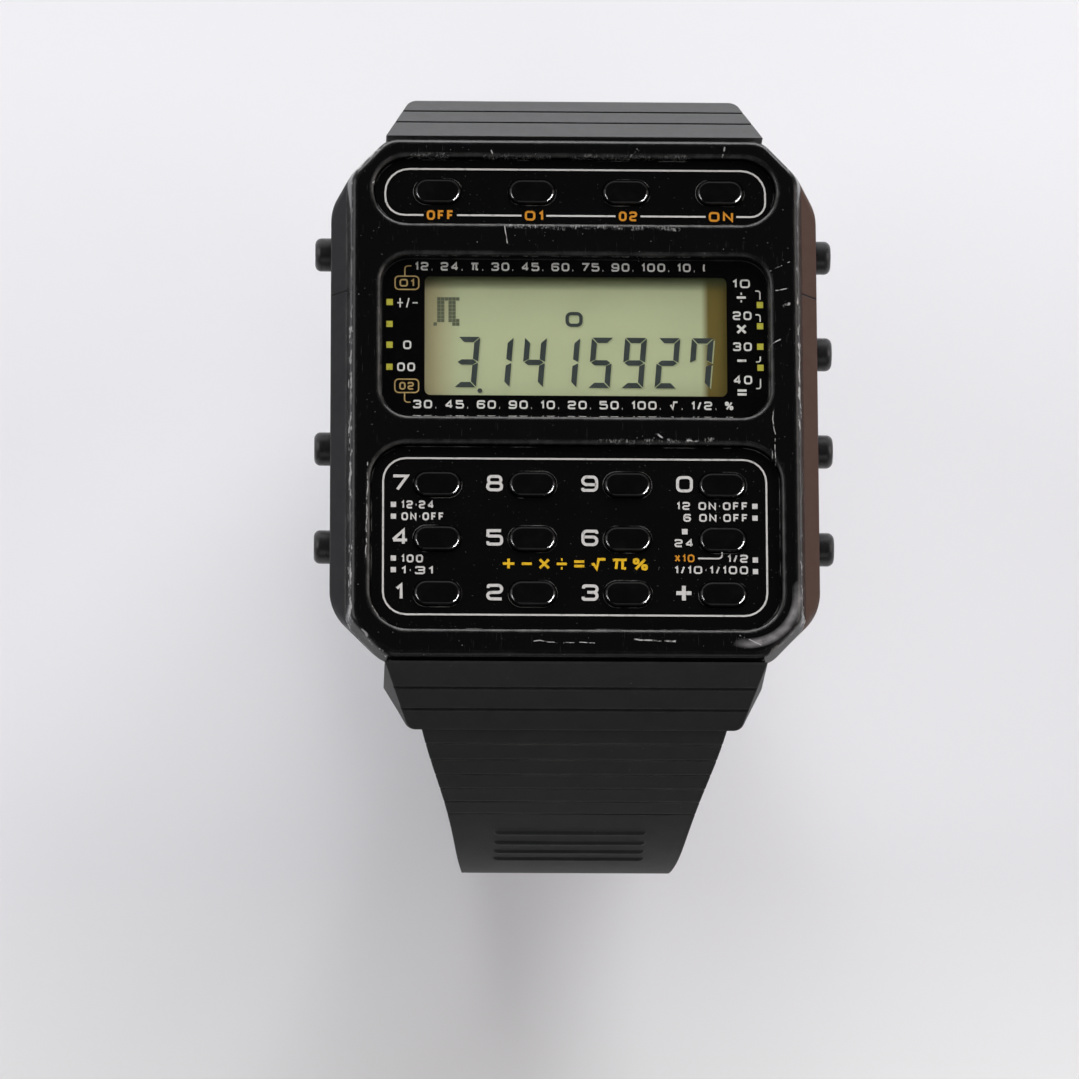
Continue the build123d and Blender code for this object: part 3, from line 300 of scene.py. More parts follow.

# Case body. One moulding of black engineering resin that holds all the rest: satin from the tool,
# greyed by wear at its corners, with a painted warm brown reflection on the right wall, and with a
# line across each side wall where two slides of the tool met.
resin_colour = (0.013, 0.013, 0.0145)
resin_worn_colour = (0.115, 0.112, 0.112)
resin_painted_reflection_colour = (0.064, 0.032, 0.022)
wear_radius = 0.35 * mm
line_y = 8.6 * mm


def worn_edges(surface, radius, amount):
    """Mask of the outer edges within this radius, broken up by noise."""
    rounded = surface.add("Bevel", samples=4, Radius=radius)
    plain = surface.add("NewGeometry")
    straight = surface.vectors("DOT_PRODUCT", rounded.outputs["Normal"], plain.outputs["Normal"])
    edge = surface.remap(straight, 0.995, 0.93)
    rubbed = surface.remap(surface.noise(1.2 * mm), 0.35, 0.62, 0.25, 1.0)
    return surface.math("MULTIPLY", edge, rubbed, amount)


def soften_edges(surface, radius):
    """Light on the edges as if they were rounded to this radius."""
    surface.give("Normal", surface.add("Bevel", samples=4, Radius=radius).outputs["Normal"])


case = Surface("satin_resin", resin_colour, 0.42, specular=0.15)
soften_edges(case, 0.2 * mm)
case_place = case.axes(case.point())
case_facing = case.axes(case.add("NewGeometry").outputs["Normal"])
case_cloud = case.mix(case.noise(4 * mm), resin_colour, (0.020, 0.020, 0.022))
case_worn = case.mix(worn_edges(case, wear_radius, 0.75), case_cloud, resin_worn_colour)
# Painted reflection: the right-facing wall is tinted warm brown, standing in for a brown reflection on it
case_painted_reflection = case.mix(case.math(
    "MULTIPLY", case.remap(case_place["X"], 14.0 * mm, 15.0 * mm, 0.0, 0.95),
    case.remap(case_facing["X"], 0.2, 0.4),
), case_worn, resin_painted_reflection_colour)
case_wall = case.remap(case.math("ABSOLUTE", case_place["X"]), 17.2 * mm, 17.3 * mm)
moulding_line = case.math("MULTIPLY", case_wall, case.band(case_place["Y"], line_y, 0.09 * mm, 0.04 * mm))
case.give("Base Color", case.mix(moulding_line, case_painted_reflection, (0.004, 0.004, 0.004)))
case.give("Roughness", case.uneven(0.9 * mm, 0.38, 0.54))
case.bump(case.noise(0.12 * mm), 0.006 * mm)
case.bump(case.math("MULTIPLY", moulding_line, -1.0), 0.06 * mm)
dress(case, "case_body")

# Bezel. A frame of black resin polished to a mirror, pressed over the case and the inside pieces.
# It carries the scars of the watch's life: fine hairlines all over and a few deep pale scratches.
bezel_colour = (0.0028, 0.0028, 0.0030)
bezel_worn_colour = (0.16, 0.155, 0.15)
bezel_highlight_paint_colour = (0.22, 0.212, 0.216)
scar_colour = (0.40, 0.395, 0.385)
hairline_colour = (0.020, 0.020, 0.021)


def streaks(surface, width, length, turn):
    """Thin straight hairlines lying at this turn in the face plane."""
    lines = surface.noise(width, (1, width / length, 1), (0, 0, turn), 1.0, 0.5)
    return surface.remap(lines, 0.74, 0.79)


def scars(surface, strokes):
    """Mask of single scratches, each from one point to another in mm with its width."""
    place = surface.point((1 / mm, 1 / mm, 0))
    wander = surface.add("TexNoise", Scale=0.8, Detail=2.0)
    surface.feed(wander.inputs["Vector"], place)
    moved = surface.vectors("ADD", place, surface.vectors("SCALE", wander.outputs["Color"], 0.35))
    flat = surface.vectors("MULTIPLY", moved, (1, 1, 0))
    masks = []
    for start, end, width in strokes:
        start, way = Vector((*start, 0)), Vector((*end, 0)) - Vector((*start, 0))
        from_start = surface.vectors("SUBTRACT", flat, start)
        share = surface.vectors("DOT_PRODUCT", from_start, way / way.length_squared)
        nearest = surface.vectors("SCALE", way, surface.remap(share, 0, 1))
        gap = surface.vectors("DISTANCE", from_start, nearest)
        masks.append(surface.remap(gap, width, width / 3))
    broken = surface.remap(surface.noise(0.5 * mm, detail=4.0), 0.42, 0.55)
    return surface.math("MULTIPLY", surface.math("MAXIMUM", *masks), broken)


bezel_scars = [
    ((4.2, 19.0), (4.9, 19.7), 0.10), ((-6.0, 19.0), (-6.2, 20.0), 0.05),
    ((11.4, 19.2), (11.6, 19.9), 0.07), ((-5.2, 13.5), (-5.0, 12.2), 0.05),
    ((6.2, -2.6), (6.8, -3.2), 0.07), ((8.6, -3.3), (9.6, -3.4), 0.08),
    ((14.9, 10.0), (16.4, 10.9), 0.05), ((15.4, 8.6), (16.3, 8.8), 0.06),
    ((15.9, 7.3), (16.4, 7.5), 0.13), ((14.9, 4.2), (15.7, 4.7), 0.05),
    ((15.1, -1.0), (15.3, -6.0), 0.04), ((15.0, -4.0), (15.1, -15.2), 0.05),
    ((12.4, -18.4), (14.0, -19.2), 0.05), ((4.5, -18.8), (7.6, -18.9), 0.07),
    ((-3.0, -18.9), (1.5, -19.1), 0.04), ((-15.5, -5.0), (-15.6, -12.5), 0.05),
    ((-15.1, -16.2), (-14.6, -17.0), 0.06), ((-13.6, 18.3), (-15.2, 16.9), 0.06),
]
groove_rubs = [
    ((-12.4, 19.05), (-9.6, 19.1), 0.30), ((-6.6, 19.0), (-1.8, 19.0), 0.28),
    ((0.1, 19.0), (8.8, 18.95), 0.32), ((-5.0, 13.5), (8.0, 13.4), 0.20),
    ((2.0, -3.4), (10.6, -3.3), 0.22), ((15.3, -6.0), (15.3, -14.0), 0.16),
]
bezel = Surface("gloss_black", bezel_colour, 0.16, specular=0.35)
soften_edges(bezel, 0.2 * mm)
hairlines = bezel.math(
    "MAXIMUM", streaks(bezel, 0.06 * mm, 1.6 * mm, 0.5),
    streaks(bezel, 0.06 * mm, 1.2 * mm, -0.9), streaks(bezel, 0.07 * mm, 2.0 * mm, 2.1),
)
dust = bezel.remap(bezel.noise(0.16 * mm, detail=1.0), 0.77, 0.84, 0.0, 0.8)
deep_scars = bezel.math("MAXIMUM", scars(bezel, bezel_scars), dust)
bezel_cloud = bezel.mix(hairlines, bezel_colour, hairline_colour)
bezel_rubbed = bezel.mix(worn_edges(bezel, 0.3 * mm, 0.9), bezel_cloud, bezel_worn_colour)

# The chipped rim, along the sides and across the cut corners
bezel_place = bezel.axes(bezel.point((1 / mm, 1 / mm, 1 / mm)))
bezel_side = bezel.math("ABSOLUTE", bezel_place["X"])
wander = bezel.math("MULTIPLY", bezel.math("SUBTRACT", bezel.noise(0.7 * mm, detail=4.0), 0.5), 0.5)
across = bezel.math("ADD", bezel_side, wander)
cut_across = bezel.math("ADD", across, bezel.math("ABSOLUTE", bezel_place["Y"]))
rim = bezel.math(
    "MAXIMUM", bezel.band(across, 16.97, 0.13, 0.06), bezel.band(cut_across, 34.42, 0.18, 0.08)
)
rim_wear = bezel.math(
    "MULTIPLY", rim, bezel.remap(bezel.noise(0.4 * mm, (1, 0.5, 1), detail=4.0), 0.5, 0.58),
    bezel.remap(bezel.noise(3.5 * mm, (1, 0.4, 1), detail=2.0), 0.44, 0.54, 0.25, 1.0),
)

# Painted highlight: a pale band round the lower right corner, standing in for a reflection there
corner_place = bezel.add("CombineXYZ")
bezel.feed(corner_place.inputs["X"], bezel_side)
bezel.feed(corner_place.inputs["Y"], bezel_place["Y"])
corner_reach = bezel.vectors("DISTANCE", corner_place.outputs[0], (12.9, -15.5, 0))
corner_painted_highlight = bezel.math(
    "MULTIPLY", bezel.band(corner_reach, 3.7, 0.42, 0.12),
    bezel.remap(bezel.math("SUBTRACT", across, bezel_place["Y"]), 30.9, 32.6),
    bezel.remap(bezel_place["X"], -1, 1),
    bezel.remap(bezel.noise(0.9 * mm, detail=4.0), 0.35, 0.6, 0.5, 1.0),
)
groove_ticks = bezel.math(
    "MULTIPLY", scars(bezel, groove_rubs),
    bezel.remap(bezel.noise(0.14 * mm, (1, 0.4, 1), detail=2.0), 0.46, 0.62), 0.55,
)
bezel_marks = bezel.math("MAXIMUM", deep_scars, groove_ticks, rim_wear)
bezel_with_highlight_paint = bezel.mix(corner_painted_highlight, bezel_rubbed, bezel_highlight_paint_colour)
bezel.give("Base Color", bezel.mix(bezel_marks, bezel_with_highlight_paint, scar_colour))
bezel_dull = bezel.math("MULTIPLY", bezel_marks, 0.6)
bezel.give("Roughness", bezel.math("MAXIMUM", bezel.uneven(5 * mm, 0.06, 0.18), bezel_dull))
bezel.bump(bezel.math("MULTIPLY", hairlines, -1.0), 0.002 * mm)
bezel.bump(bezel.math("MULTIPLY", deep_scars, -1.0), 0.012 * mm)
dress(bezel, "bezel")

# Key plates. Two thin black plastic sheets, one for the function row and one for the keypad,
# lying in recesses of the bezel with the keys standing through them.
plate_colour = (0.0026, 0.0025, 0.0025)
plate = Surface("printed_sheet", plate_colour, 0.2, specular=0.25)
plate_dust = plate.remap(plate.noise(0.14 * mm, detail=1.0), 0.75, 0.80)
plate_patches = plate.remap(plate.noise(2.4 * mm, detail=4.0), 0.5, 0.6)
plate_rubbed = plate.math("MULTIPLY", worn_edges(plate, 0.12 * mm, 0.8), plate_patches)
plate_dusty = plate.mix(plate_dust, plate_colour, (0.07, 0.07, 0.067))
plate.give("Base Color", plate.mix(plate_rubbed, plate_dusty, (0.24, 0.24, 0.23)))
plate.give("Roughness", plate.uneven(3 * mm, 0.14, 0.26))
plate.bump(plate.noise(0.2 * mm), 0.002 * mm)
dress(plate, "function_plate", "keypad_plate")

# Keys. Sixteen small pills of hard black resin, polished on top by fingers, each moulded with
# a flange that holds it under its plate; they press straight down on the membrane.
key_colour = (0.0022, 0.0022, 0.0023)
key = Surface("polished_key", key_colour, 0.1, specular=0.3)
soften_edges(key, 0.1 * mm)
key.give("Base Color", key.mix(worn_edges(key, 0.1 * mm, 0.15), key_colour, (0.05, 0.05, 0.05)))
key.give("Roughness", key.uneven(1.0 * mm, 0.08, 0.2))
key.bump(key.noise(0.5 * mm), 0.002 * mm)
all_keys = [f"key_{label}" for label in (*range(10), "plus", "point")]
all_keys += [f"function_key_{place}" for place in range(1, 5)]
dress(key, *all_keys)

# Side pushers. Eight turned pegs of black resin in the case walls; the second on the left is
# flush and takes a pen tip. Their ends are polished by use.
pusher_colour = (0.014, 0.014, 0.015)
pusher = Surface("pusher_resin", pusher_colour, 0.35, specular=0.45)
soften_edges(pusher, 0.12 * mm)
pusher_worn = worn_edges(pusher, 0.25 * mm, 0.4)
pusher.give("Base Color", pusher.mix(pusher_worn, pusher_colour, (0.09, 0.09, 0.09)))
pusher.give("Roughness", pusher.uneven(0.4 * mm, 0.25, 0.45))
pusher.bump(pusher.noise(0.15 * mm), 0.004 * mm)
pusher_sides = (("left", -1), ("right", 1))
for side_name, _ in pusher_sides:
    dress(pusher, *(f"pusher_{side_name}_{place}" for place in range(1, 5)))

# Display panel. A grey green liquid crystal cell behind the window: glass, polariser and
# a silvered back that shows warmer at the left end and dark at the right, with a painted shadow
# of the bezel along its top.
panel_colour = (0.362, 0.388, 0.240)
panel_warm_colour = (0.295, 0.261, 0.149)
panel_dark_colour = (0.115, 0.085, 0.020)
panel = Surface("liquid_crystal_cell", panel_colour, 0.35, specular=0.1)
panel_place = panel.axes(panel.point((1 / mm, 1 / mm, 1 / mm)))
panel_seen = panel.mix(panel.noise(6 * mm), (0.347, 0.371, 0.229), (0.380, 0.406, 0.252))
for axis, low, high, most, colour in (
    ("X", -8.7, -10.8, 1.0, panel_warm_colour), ("X", 9.6, 10.15, 1.0, panel_dark_colour),
    # Painted shadow: a dark band along the panel's top edge, where the bezel shades it
    ("Y", 8.7, 9.6, 0.88, (0.075, 0.085, 0.035)),
):
    panel_seen = panel.mix(panel.remap(panel_place[axis], low, high, 0.0, most), panel_seen, colour)
panel.give("Base Color", panel_seen)
panel.bump(panel.noise(0.1 * mm), 0.001 * mm)
dress(panel, "lcd_panel")

# Display glass. A flat pane of mineral glass with ground edges, pressed into the bezel; its
# shadow rays pass, as light does through a clear pane.
glass = Surface("mineral_glass", (0.93, 0.95, 0.93), 0.0)
glass.shader.inputs["Transmission Weight"].default_value = 1.0
glass.shader.inputs["IOR"].default_value = 1.46
glass.give("Base Color", glass.mix(glass.noise(3 * mm), (0.92, 0.94, 0.92), (0.94, 0.96, 0.94)))
glass.bump(glass.noise(2 * mm, detail=1.0), 0.0008 * mm)
glass_mix = glass.add("MixShader")
for socket, source in zip(glass_mix.inputs, (
    glass.add("LightPath").outputs["Is Shadow Ray"], glass.shader.outputs[0],
    glass.add("BsdfTransparent").outputs[0],
)):
    glass.feed(socket, source)
glass.feed(glass.tree.nodes["Material Output"].inputs["Surface"], glass_mix.outputs[0])
dress(glass, "display_lens")

# Print on the plates. White, orange and yellow ink, screen printed on the key plates: a line round
# each group of keys, wide square numerals beside the keys and small settings under them.
plate_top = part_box("keypad_plate")[1][2] / mm
ink_thickness = 0.02
white_ink_colour = (0.56, 0.545, 0.53)
orange_ink_colour = (0.55, 0.225, 0.02)
yellow_ink_colour = (0.70, 0.42, 0.018)
corner_steps = 6


def turn_corners(points, radius, closed=False):
    """The run of points with its corners turned to arcs of this radius where there is room."""
    turned = []
    last = len(points) - 1
    for place, point in enumerate(points):
        corner = Vector(point)
        if radius == 0 or (not closed and place in (0, last)):
            turned.append(corner)
            continue
        before = Vector(points[place - 1]) - corner
        after = Vector(points[(place + 1) % len(points)]) - corner
        half = before.angle(after) / 2
        reach = min(radius / max(sin(half) / cos(half), 0.05), before.length / 2, after.length / 2)
        middle = corner + (before.normalized() + after.normalized()).normalized() * reach / cos(half)
        first = corner + before.normalized() * reach - middle
        sweep = first.angle_signed(corner + after.normalized() * reach - middle)
        for step in range(corner_steps + 1):
            turned.append(middle + Matrix.Rotation(-sweep * step / corner_steps, 2) @ first)
    kept = [turned[0]]
    for point in turned[1:]:
        if (point - kept[-1]).length > 0.004:
            kept.append(point)
    if closed and (kept[0] - kept[-1]).length < 0.004:
        kept.pop()
    return kept


def join_run(mesh, rings, closed=False):
    """Faces between rings that follow each other, and over both ends where the run isn't closed."""
    sides = []
    for first, second in zip(rings, rings[1:] + rings[:1] * closed):
        for corner in range(len(first)):
            beside = (corner + 1) % len(first)
            sides.append(mesh.faces.new((first[corner], first[beside], second[beside], second[corner])))
    if not closed:
        mesh.faces.new(rings[0][::-1])
        mesh.faces.new(rings[-1])
    return sides


def lay_line(mesh, points, width, base, closed=False):
    """A raised line of ink through these points in mm, standing on a height in mm."""
    rings = []
    last = len(points) - 1
    for place, point in enumerate(points):
        before = point - points[place - 1]
        after = points[(place + 1) % len(points)] - point
        if not closed and place == 0:
            before = after
        if not closed and place == last:
            after = before
        before, after = before.normalized(), after.normalized()
        middle = (before + after).normalized()
        side = Vector((-middle.y, middle.x))
        reach = width / 2 / max(side.dot(Vector((-after.y, after.x))), 0.5)
        rings.append([
            mesh.verts.new((*((point + side * sign * reach) * mm), (base + lift) * mm))
            for sign, lift in ((1, ink_thickness), (-1, ink_thickness), (-1, 0), (1, 0))
        ])
    join_run(mesh, rings, closed)


# Wide square letters: each sign's width, and its strokes in a box one unit wide and high. A stroke
# is a run of points, alone or with whether it is closed and how its corners are rounded.
box_stroke = ([(0, 0), (0, 1), (1, 1), (1, 0)], True, 0.24)
square_signs = {
    "0": (1.0, [box_stroke]),
    "1": (0.42, [[(0, 0.74), (1, 1), (1, 0)]]),
    "2": (1.0, [([(0.03, 0.8), (0.03, 1), (1, 1), (1, 0.48), (0, 0.48), (0, 0), (1, 0)], False, 0.22)]),
    "3": (1.0, [
        ([(0.03, 0.8), (0.03, 1), (1, 1), (1, 0.52), (0.3, 0.52)], False, 0.22),
        ([(0.3, 0.52), (1, 0.52), (1, 0), (0, 0), (0, 0.2)], False, 0.22),
    ]),
    "4": (1.0, [[(0.74, 0), (0.74, 1), (0, 0.3)], [(0, 0.27), (1, 0.27)]]),
    "5": (1.0, [
        [(0.95, 1), (0.02, 1), (0, 0.56)],
        ([(0, 0.6), (1, 0.6), (1, 0), (0, 0), (0, 0.2)], False, 0.18),
    ]),
    "6": (1.0, [([(1, 0.82), (1, 1), (0, 1), (0, 0), (1, 0), (1, 0.57), (0.05, 0.57)], False, 0.24)]),
    "7": (1.0, [[(0, 1), (1, 1), (0.3, 0)]]),
    "8": (1.0, [
        ([(0, 0), (0, 0.52), (1, 0.52), (1, 0)], True, 0.2),
        ([(0.05, 0.52), (0.05, 1), (0.95, 1), (0.95, 0.52)], True, 0.2),
    ]),
    "9": (1.0, [([(0, 0.18), (0, 0), (1, 0), (1, 1), (0, 1), (0, 0.43), (0.95, 0.43)], False, 0.24)]),
    "O": (1.0, [box_stroke]),
    "N": (0.95, [[(0, 0), (0, 1), (1, 0), (1, 1)]]),
    "F": (0.8, [[(0, 0), (0, 1), (1, 1)], [(0, 0.5), (0.85, 0.5)]]),
    "+": (0.95, [[(0, 0.5), (1, 0.5)], [(0.5, 0), (0.5, 1)]]),
    "-": (0.85, [[(0, 0.5), (1, 0.5)]]),
    "=": (0.85, [[(0, 0.28), (1, 0.28)], [(0, 0.74), (1, 0.74)]]),
    "x": (0.85, [[(0.05, 0.05), (0.95, 0.95)], [(0.05, 0.95), (0.95, 0.05)]]),
    "/": (0.5, [[(0, 0), (1, 1)]]),
    ":": (0.85, [[(0, 0.5), (1, 0.5)], [(0.42, 0.95), (0.58, 0.95)], [(0.42, 0.05), (0.58, 0.05)]]),
    "%": (1.0, [
        [(0.12, 0), (0.88, 1)],
        ([(0, 0.62), (0, 1), (0.32, 1), (0.32, 0.62)], True, 0.1),
        ([(0.68, 0), (0.68, 0.38), (1, 0.38), (1, 0)], True, 0.1),
    ]),
    "r": (1.1, [[(0, 0.45), (0.15, 0.5), (0.36, 0), (0.5, 1), (1, 1)]]),
    "p": (1.1, [
        [(0, 0.88), (0.12, 0.95), (1, 0.95)], [(0.3, 0.95), (0.22, 0)],
        [(0.7, 0.95), (0.7, 0.1), (0.95, 0.05)],
    ]),
    "(": (0.3, [[(1, 1), (0.2, 0.75), (0.2, 0.25), (1, 0)]]),
    ".": (0.16, [[(0, 0), (1, 0)]]),
    "'": (0.25, [[(0, 0.5), (1, 0.5)]]),
    " ": (0.45, []),
}


def lay_words(mesh, text, left, right, middle, height, width, base):
    """A row of signs from left to right in mm, about a middle height, with strokes this wide."""
    gap = 0.32
    units = sum(square_signs[sign][0] for sign in text) + gap * (len(text) - 1)
    unit = (right - left) / units
    place = left
    for sign in text:
        sign_width, strokes = square_signs[sign]
        inner_width = max(sign_width * unit - width, 0.04)
        inner_height = height - width
        for order, stroke in enumerate(strokes):
            points, closed, rounding = stroke if isinstance(stroke, tuple) else (stroke, False, 0)
            laid = [
                (place + width / 2 + x * inner_width, middle + (y - 0.5) * inner_height)
                for x, y in points
            ]
            level = base + order * ink_thickness / 8
            lay_line(mesh, turn_corners(laid, rounding * height, closed), width, level, closed)
        place += (sign_width + gap) * unit


def lay_square(mesh, x, y, size, base):
    """A square dot of ink."""
    lay_line(mesh, [Vector((x - size / 2, y)), Vector((x + size / 2, y))], size, base)


def finish_piece(mesh, name, surface):
    """Turn a built mesh into a piece that rides on the watch."""
    bmesh.ops.recalc_face_normals(mesh, faces=mesh.faces)
    data = bpy.data.meshes.new(name)
    mesh.to_mesh(data)
    mesh.free()
    data.materials.append(surface.material)
    piece = add_object(name, data)
    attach(piece, "watch")
    return piece


def make_ink(name, colour):
    """Screen printing ink, thinner and rubbed in places."""
    ink = Surface(name, colour, 0.45, specular=0.2)
    rubbed = ink.remap(ink.noise(0.35 * mm, detail=4.0), 0.56, 0.72, 0.0, 0.55)
    ink.give("Base Color", ink.mix(rubbed, colour, tuple(channel * 0.25 for channel in colour)))
    ink.give("Roughness", ink.uneven(0.2 * mm, 0.38, 0.6))
    ink.bump(ink.noise(0.05 * mm), 0.002 * mm)
    return ink


white_ink = make_ink("white_ink", white_ink_colour)
orange_ink = make_ink("orange_ink", orange_ink_colour)
yellow_ink = make_ink("yellow_ink", yellow_ink_colour)

# The function row's outline is broken where its four orange labels stand
outline_width = 0.135
row_left, row_right, row_bottom, row_top = -14.4, 14.5, 14.38, 18.04
row_radius = (row_top - row_bottom) / 2
function_labels = (("OFF", -11.25, -9.2), ("01", -3.8, -2.4), ("02", 3.35, 4.75), ("ON", 10.2, 12.05))
label_gap = 0.25
function_print = bmesh.new()
lay_line(function_print, turn_corners([
    (function_labels[-1][2] + label_gap, row_bottom), (row_right, row_bottom), (row_right, row_top),
    (row_left, row_top), (row_left, row_bottom), (function_labels[0][1] - label_gap, row_bottom),
], row_radius), outline_width, plate_top)
for (_, _, start), (_, stop, _) in zip(function_labels, function_labels[1:]):
    gap_ends = [Vector((start + label_gap, row_bottom)), Vector((stop - label_gap, row_bottom))]
    lay_line(function_print, gap_ends, outline_width, plate_top)
finish_piece(function_print, "function_row_outline", white_ink)

function_words = bmesh.new()
for text, left, stop in function_labels:
    lay_words(function_words, text, left, stop, row_bottom, 0.78, 0.165, plate_top)
finish_piece(function_words, "function_row_labels", orange_ink)

# Keypad: its outline, the key numerals, and the white settings with their square markers
keypad_print = bmesh.new()
lay_line(keypad_print, turn_corners(
    [(-14.5, -16.95), (-14.5, -4.8), (14.38, -4.8), (14.38, -16.95)], 1.75, True
), outline_width, plate_top, True)
numeral_rows = ((-6.72, "7890"), (-10.95, "456"), (-15.2, "123"))
numeral_left = (-13.85, -6.74, 0.42, 7.57)
numeral_size = 1.27
for middle, numerals in numeral_rows:
    for left, numeral in zip(numeral_left, numerals):
        start = left + (0.3 if numeral == "1" else 0)
        stop = start + numeral_size * square_signs[numeral][0]
        lay_words(keypad_print, numeral, start, stop, middle, numeral_size, 0.225, plate_top)
lay_words(keypad_print, "+", 7.38, 8.82, -15.2, 1.44, 0.3, plate_top)
lay_square(keypad_print, 8.2, -10.42, 0.42, plate_top)
for text, left, stop, middle in (
    ("12'24", -13.12, -10.67, -8.42), ("ON'OFF", -13.12, -9.92, -9.34),
    ("100", -13.12, -11.49, -12.62), ("1'31", -13.12, -10.75, -13.53),
    ("12 ON'OFF", 7.6, 12.97, -8.42), ("6 ON'OFF", 8.1, 12.97, -9.34),
    ("24", 7.42, 8.85, -11.32), ("1/2", 11.4, 12.95, -12.5), ("1/10'1/100", 7.42, 12.95, -13.4),
):
    lay_words(keypad_print, text, left, stop, middle, 0.62, 0.13, plate_top)
for middle in (-8.42, -9.34, -12.6, -13.5):
    lay_square(keypad_print, -13.72, middle, 0.4, plate_top)
    lay_square(keypad_print, 13.5, middle, 0.4, plate_top)
exponent_hook = turn_corners([(9.2, -12.5), (11.0, -12.5), (11.0, -11.95)], 0.35)
lay_line(keypad_print, exponent_hook, 0.12, plate_top)
finish_piece(keypad_print, "keypad_print", white_ink)

exponent_print = bmesh.new()
lay_words(exponent_print, "x10", 7.42, 8.92, -12.5, 0.6, 0.12, plate_top)
finish_piece(exponent_print, "exponent_label", orange_ink)

sign_print = bmesh.new()
lay_words(sign_print, "+-x:=rp%", -5.6, 5.4, -12.98, 0.95, 0.2, plate_top)
finish_piece(sign_print, "sign_row", yellow_ink)

# Print behind the glass. A black mask with a clear window, then white rows of signs above and
# below the window, memory signs down the right and yellow key markers down both sides.
lens_low, lens_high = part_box("display_lens")
mask_top = lens_low[2] / mm + 0.03
mask_thickness = 0.02
window_middle = (0.06, 4.93)
window_size = (22.9, 9.4)
mask_inset = 0.15


def thin_film(name, roughness, specular, cloud, dark, light):
    """Thin even layer that drifts between two colours in clouds of this size in metres."""
    film = Surface(name, dark, roughness, specular=specular)
    film.give("Base Color", film.mix(film.noise(cloud), dark, light))
    film.bump(film.noise(0.1 * mm), 0.001 * mm)
    return film


def middle_of(node_name):
    """Middle of a CAD node's box in metres."""
    low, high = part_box(node_name)
    return [(low[axis] + high[axis]) / 2 for axis in range(3)]


def rounded_loop(middle, size, radius):
    """Points in mm round a rectangle with rounded corners."""
    x, y = size[0] / 2, size[1] / 2
    corners = [(-x, -y), (-x, y), (x, y), (x, -y)]
    return turn_corners([(middle[0] + a, middle[1] + b) for a, b in corners], radius, True)


mask = bmesh.new()
lens_middle = [place / mm for place in middle_of("display_lens")]
lens_size = [(lens_high[axis] - lens_low[axis]) / mm - 2 * mask_inset for axis in (0, 1)]
mask_outside = rounded_loop(lens_middle, lens_size, 1.95)
mask_window = rounded_loop(window_middle, window_size, 0.45)
mask_bottom = mask_top - mask_thickness
join_run(mask, [
    [mask.verts.new((*(point * mm), height * mm)) for point in points]
    for points, height in (
        (mask_outside, mask_top), (mask_window, mask_top),
        (mask_window, mask_bottom), (mask_outside, mask_bottom),
    )
], True)
mask_ink = thin_film("mask_ink", 0.6, 0.0, 1.5 * mm, (0.001, 0.001, 0.001), (0.0016, 0.0016, 0.0016))
finish_piece(mask, "window_mask", mask_ink)

window_print = bmesh.new()
for text, left, stop, middle in (
    ("12. 24. p. 30. 45. 60. 75. 90. 100. 10. (", -12.13, 9.9, 10.38),
    ("30. 45. 60. 90. 10. 20. 50. 100. r. 1/2. %", -12.26, 11.95, -0.5),
):
    lay_words(window_print, text, left, stop, middle, 0.66, 0.125, mask_top)
for text, left, stop, middle in (
    ("0", -13.02, -12.4, 4.16), ("00", -13.47, -12.11, 2.42),
    ("10", 11.97, 13.3, 9.15), ("20", 11.97, 13.4, 6.62),
    ("30", 11.97, 13.4, 4.17), ("40", 11.97, 13.4, 1.55),
):
    lay_words(window_print, text, left, stop, middle, 0.68, 0.13, mask_top)
lay_words(window_print, "+/-", -13.52, -11.88, 7.48, 0.82, 0.1, mask_top)
for sign, middle in ((":", 8.06), ("x", 5.56), ("-", 3.07), ("=", 0.56)):
    lay_words(window_print, sign, 12.2, 13.06, middle, 0.84, 0.18, mask_top)
for hook in (
    [(13.7, 8.58), (14.05, 8.58), (14.05, 7.9)], [(13.7, 6.7), (14.05, 6.7), (14.05, 6.15)],
    [(14.03, 3.4), (14.03, 2.98), (13.7, 2.98)], [(14.03, 1.65), (14.03, 0.88), (13.7, 0.88)],
):
    lay_line(window_print, turn_corners(hook, 0.3), 0.09, mask_top)
finish_piece(window_print, "window_signs", white_ink)

marker_ink = make_ink("marker_ink", (0.43, 0.40, 0.045))
marker_print = bmesh.new()
for x, heights in ((-14.05, (7.53, 5.8, 4.16, 2.42)), (14.04, (7.48, 5.8, 4.18, 2.52))):
    for middle in heights:
        lay_square(marker_print, x, middle, 0.48, mask_top)
finish_piece(marker_print, "window_markers", marker_ink)

box_ink = make_ink("box_ink", (0.36, 0.25, 0.10))
box_print = bmesh.new()
for text, middle, hook in (
    ("01", 9.06, [(-12.9, 9.62), (-12.9, 10.4), (-12.4, 10.4)]),
    ("02", 0.93, [(-12.9, 0.38), (-12.9, -0.35), (-12.45, -0.35)]),
):
    lay_line(box_print, rounded_loop((-12.74, middle), (1.8, 1.05), 0.3), 0.09, mask_top, True)
    lay_words(box_print, text, -13.3, -12.2, middle, 0.6, 0.11, mask_top)
    lay_line(box_print, turn_corners(hook, 0.4), 0.09, mask_top)
finish_piece(box_print, "window_boxes", box_ink)

# Liquid crystal figures. Eight seven-part numerals that lean a little, with a point, a small
# ring and a sign of square dots. The figures have a faint painted shadow, an offset copy on the panel.
figure_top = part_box("lcd_panel")[1][2] / mm
figure_height, figure_width, figure_bar, figure_gap = 3.98, 1.66, 0.42, 0.05
figure_lean = 0.085
figure_bottom = 1.02
figure_pitch = 2.53
first_figure_right = -7.16


def add_plate(mesh, points, base, thickness=0.006):
    """A thin flat plate of this outline in mm."""
    lower = [mesh.verts.new((x * mm, y * mm, base * mm)) for x, y in points]
    upper = [mesh.verts.new((x * mm, y * mm, (base + thickness) * mm)) for x, y in points]
    join_run(mesh, [lower, upper])


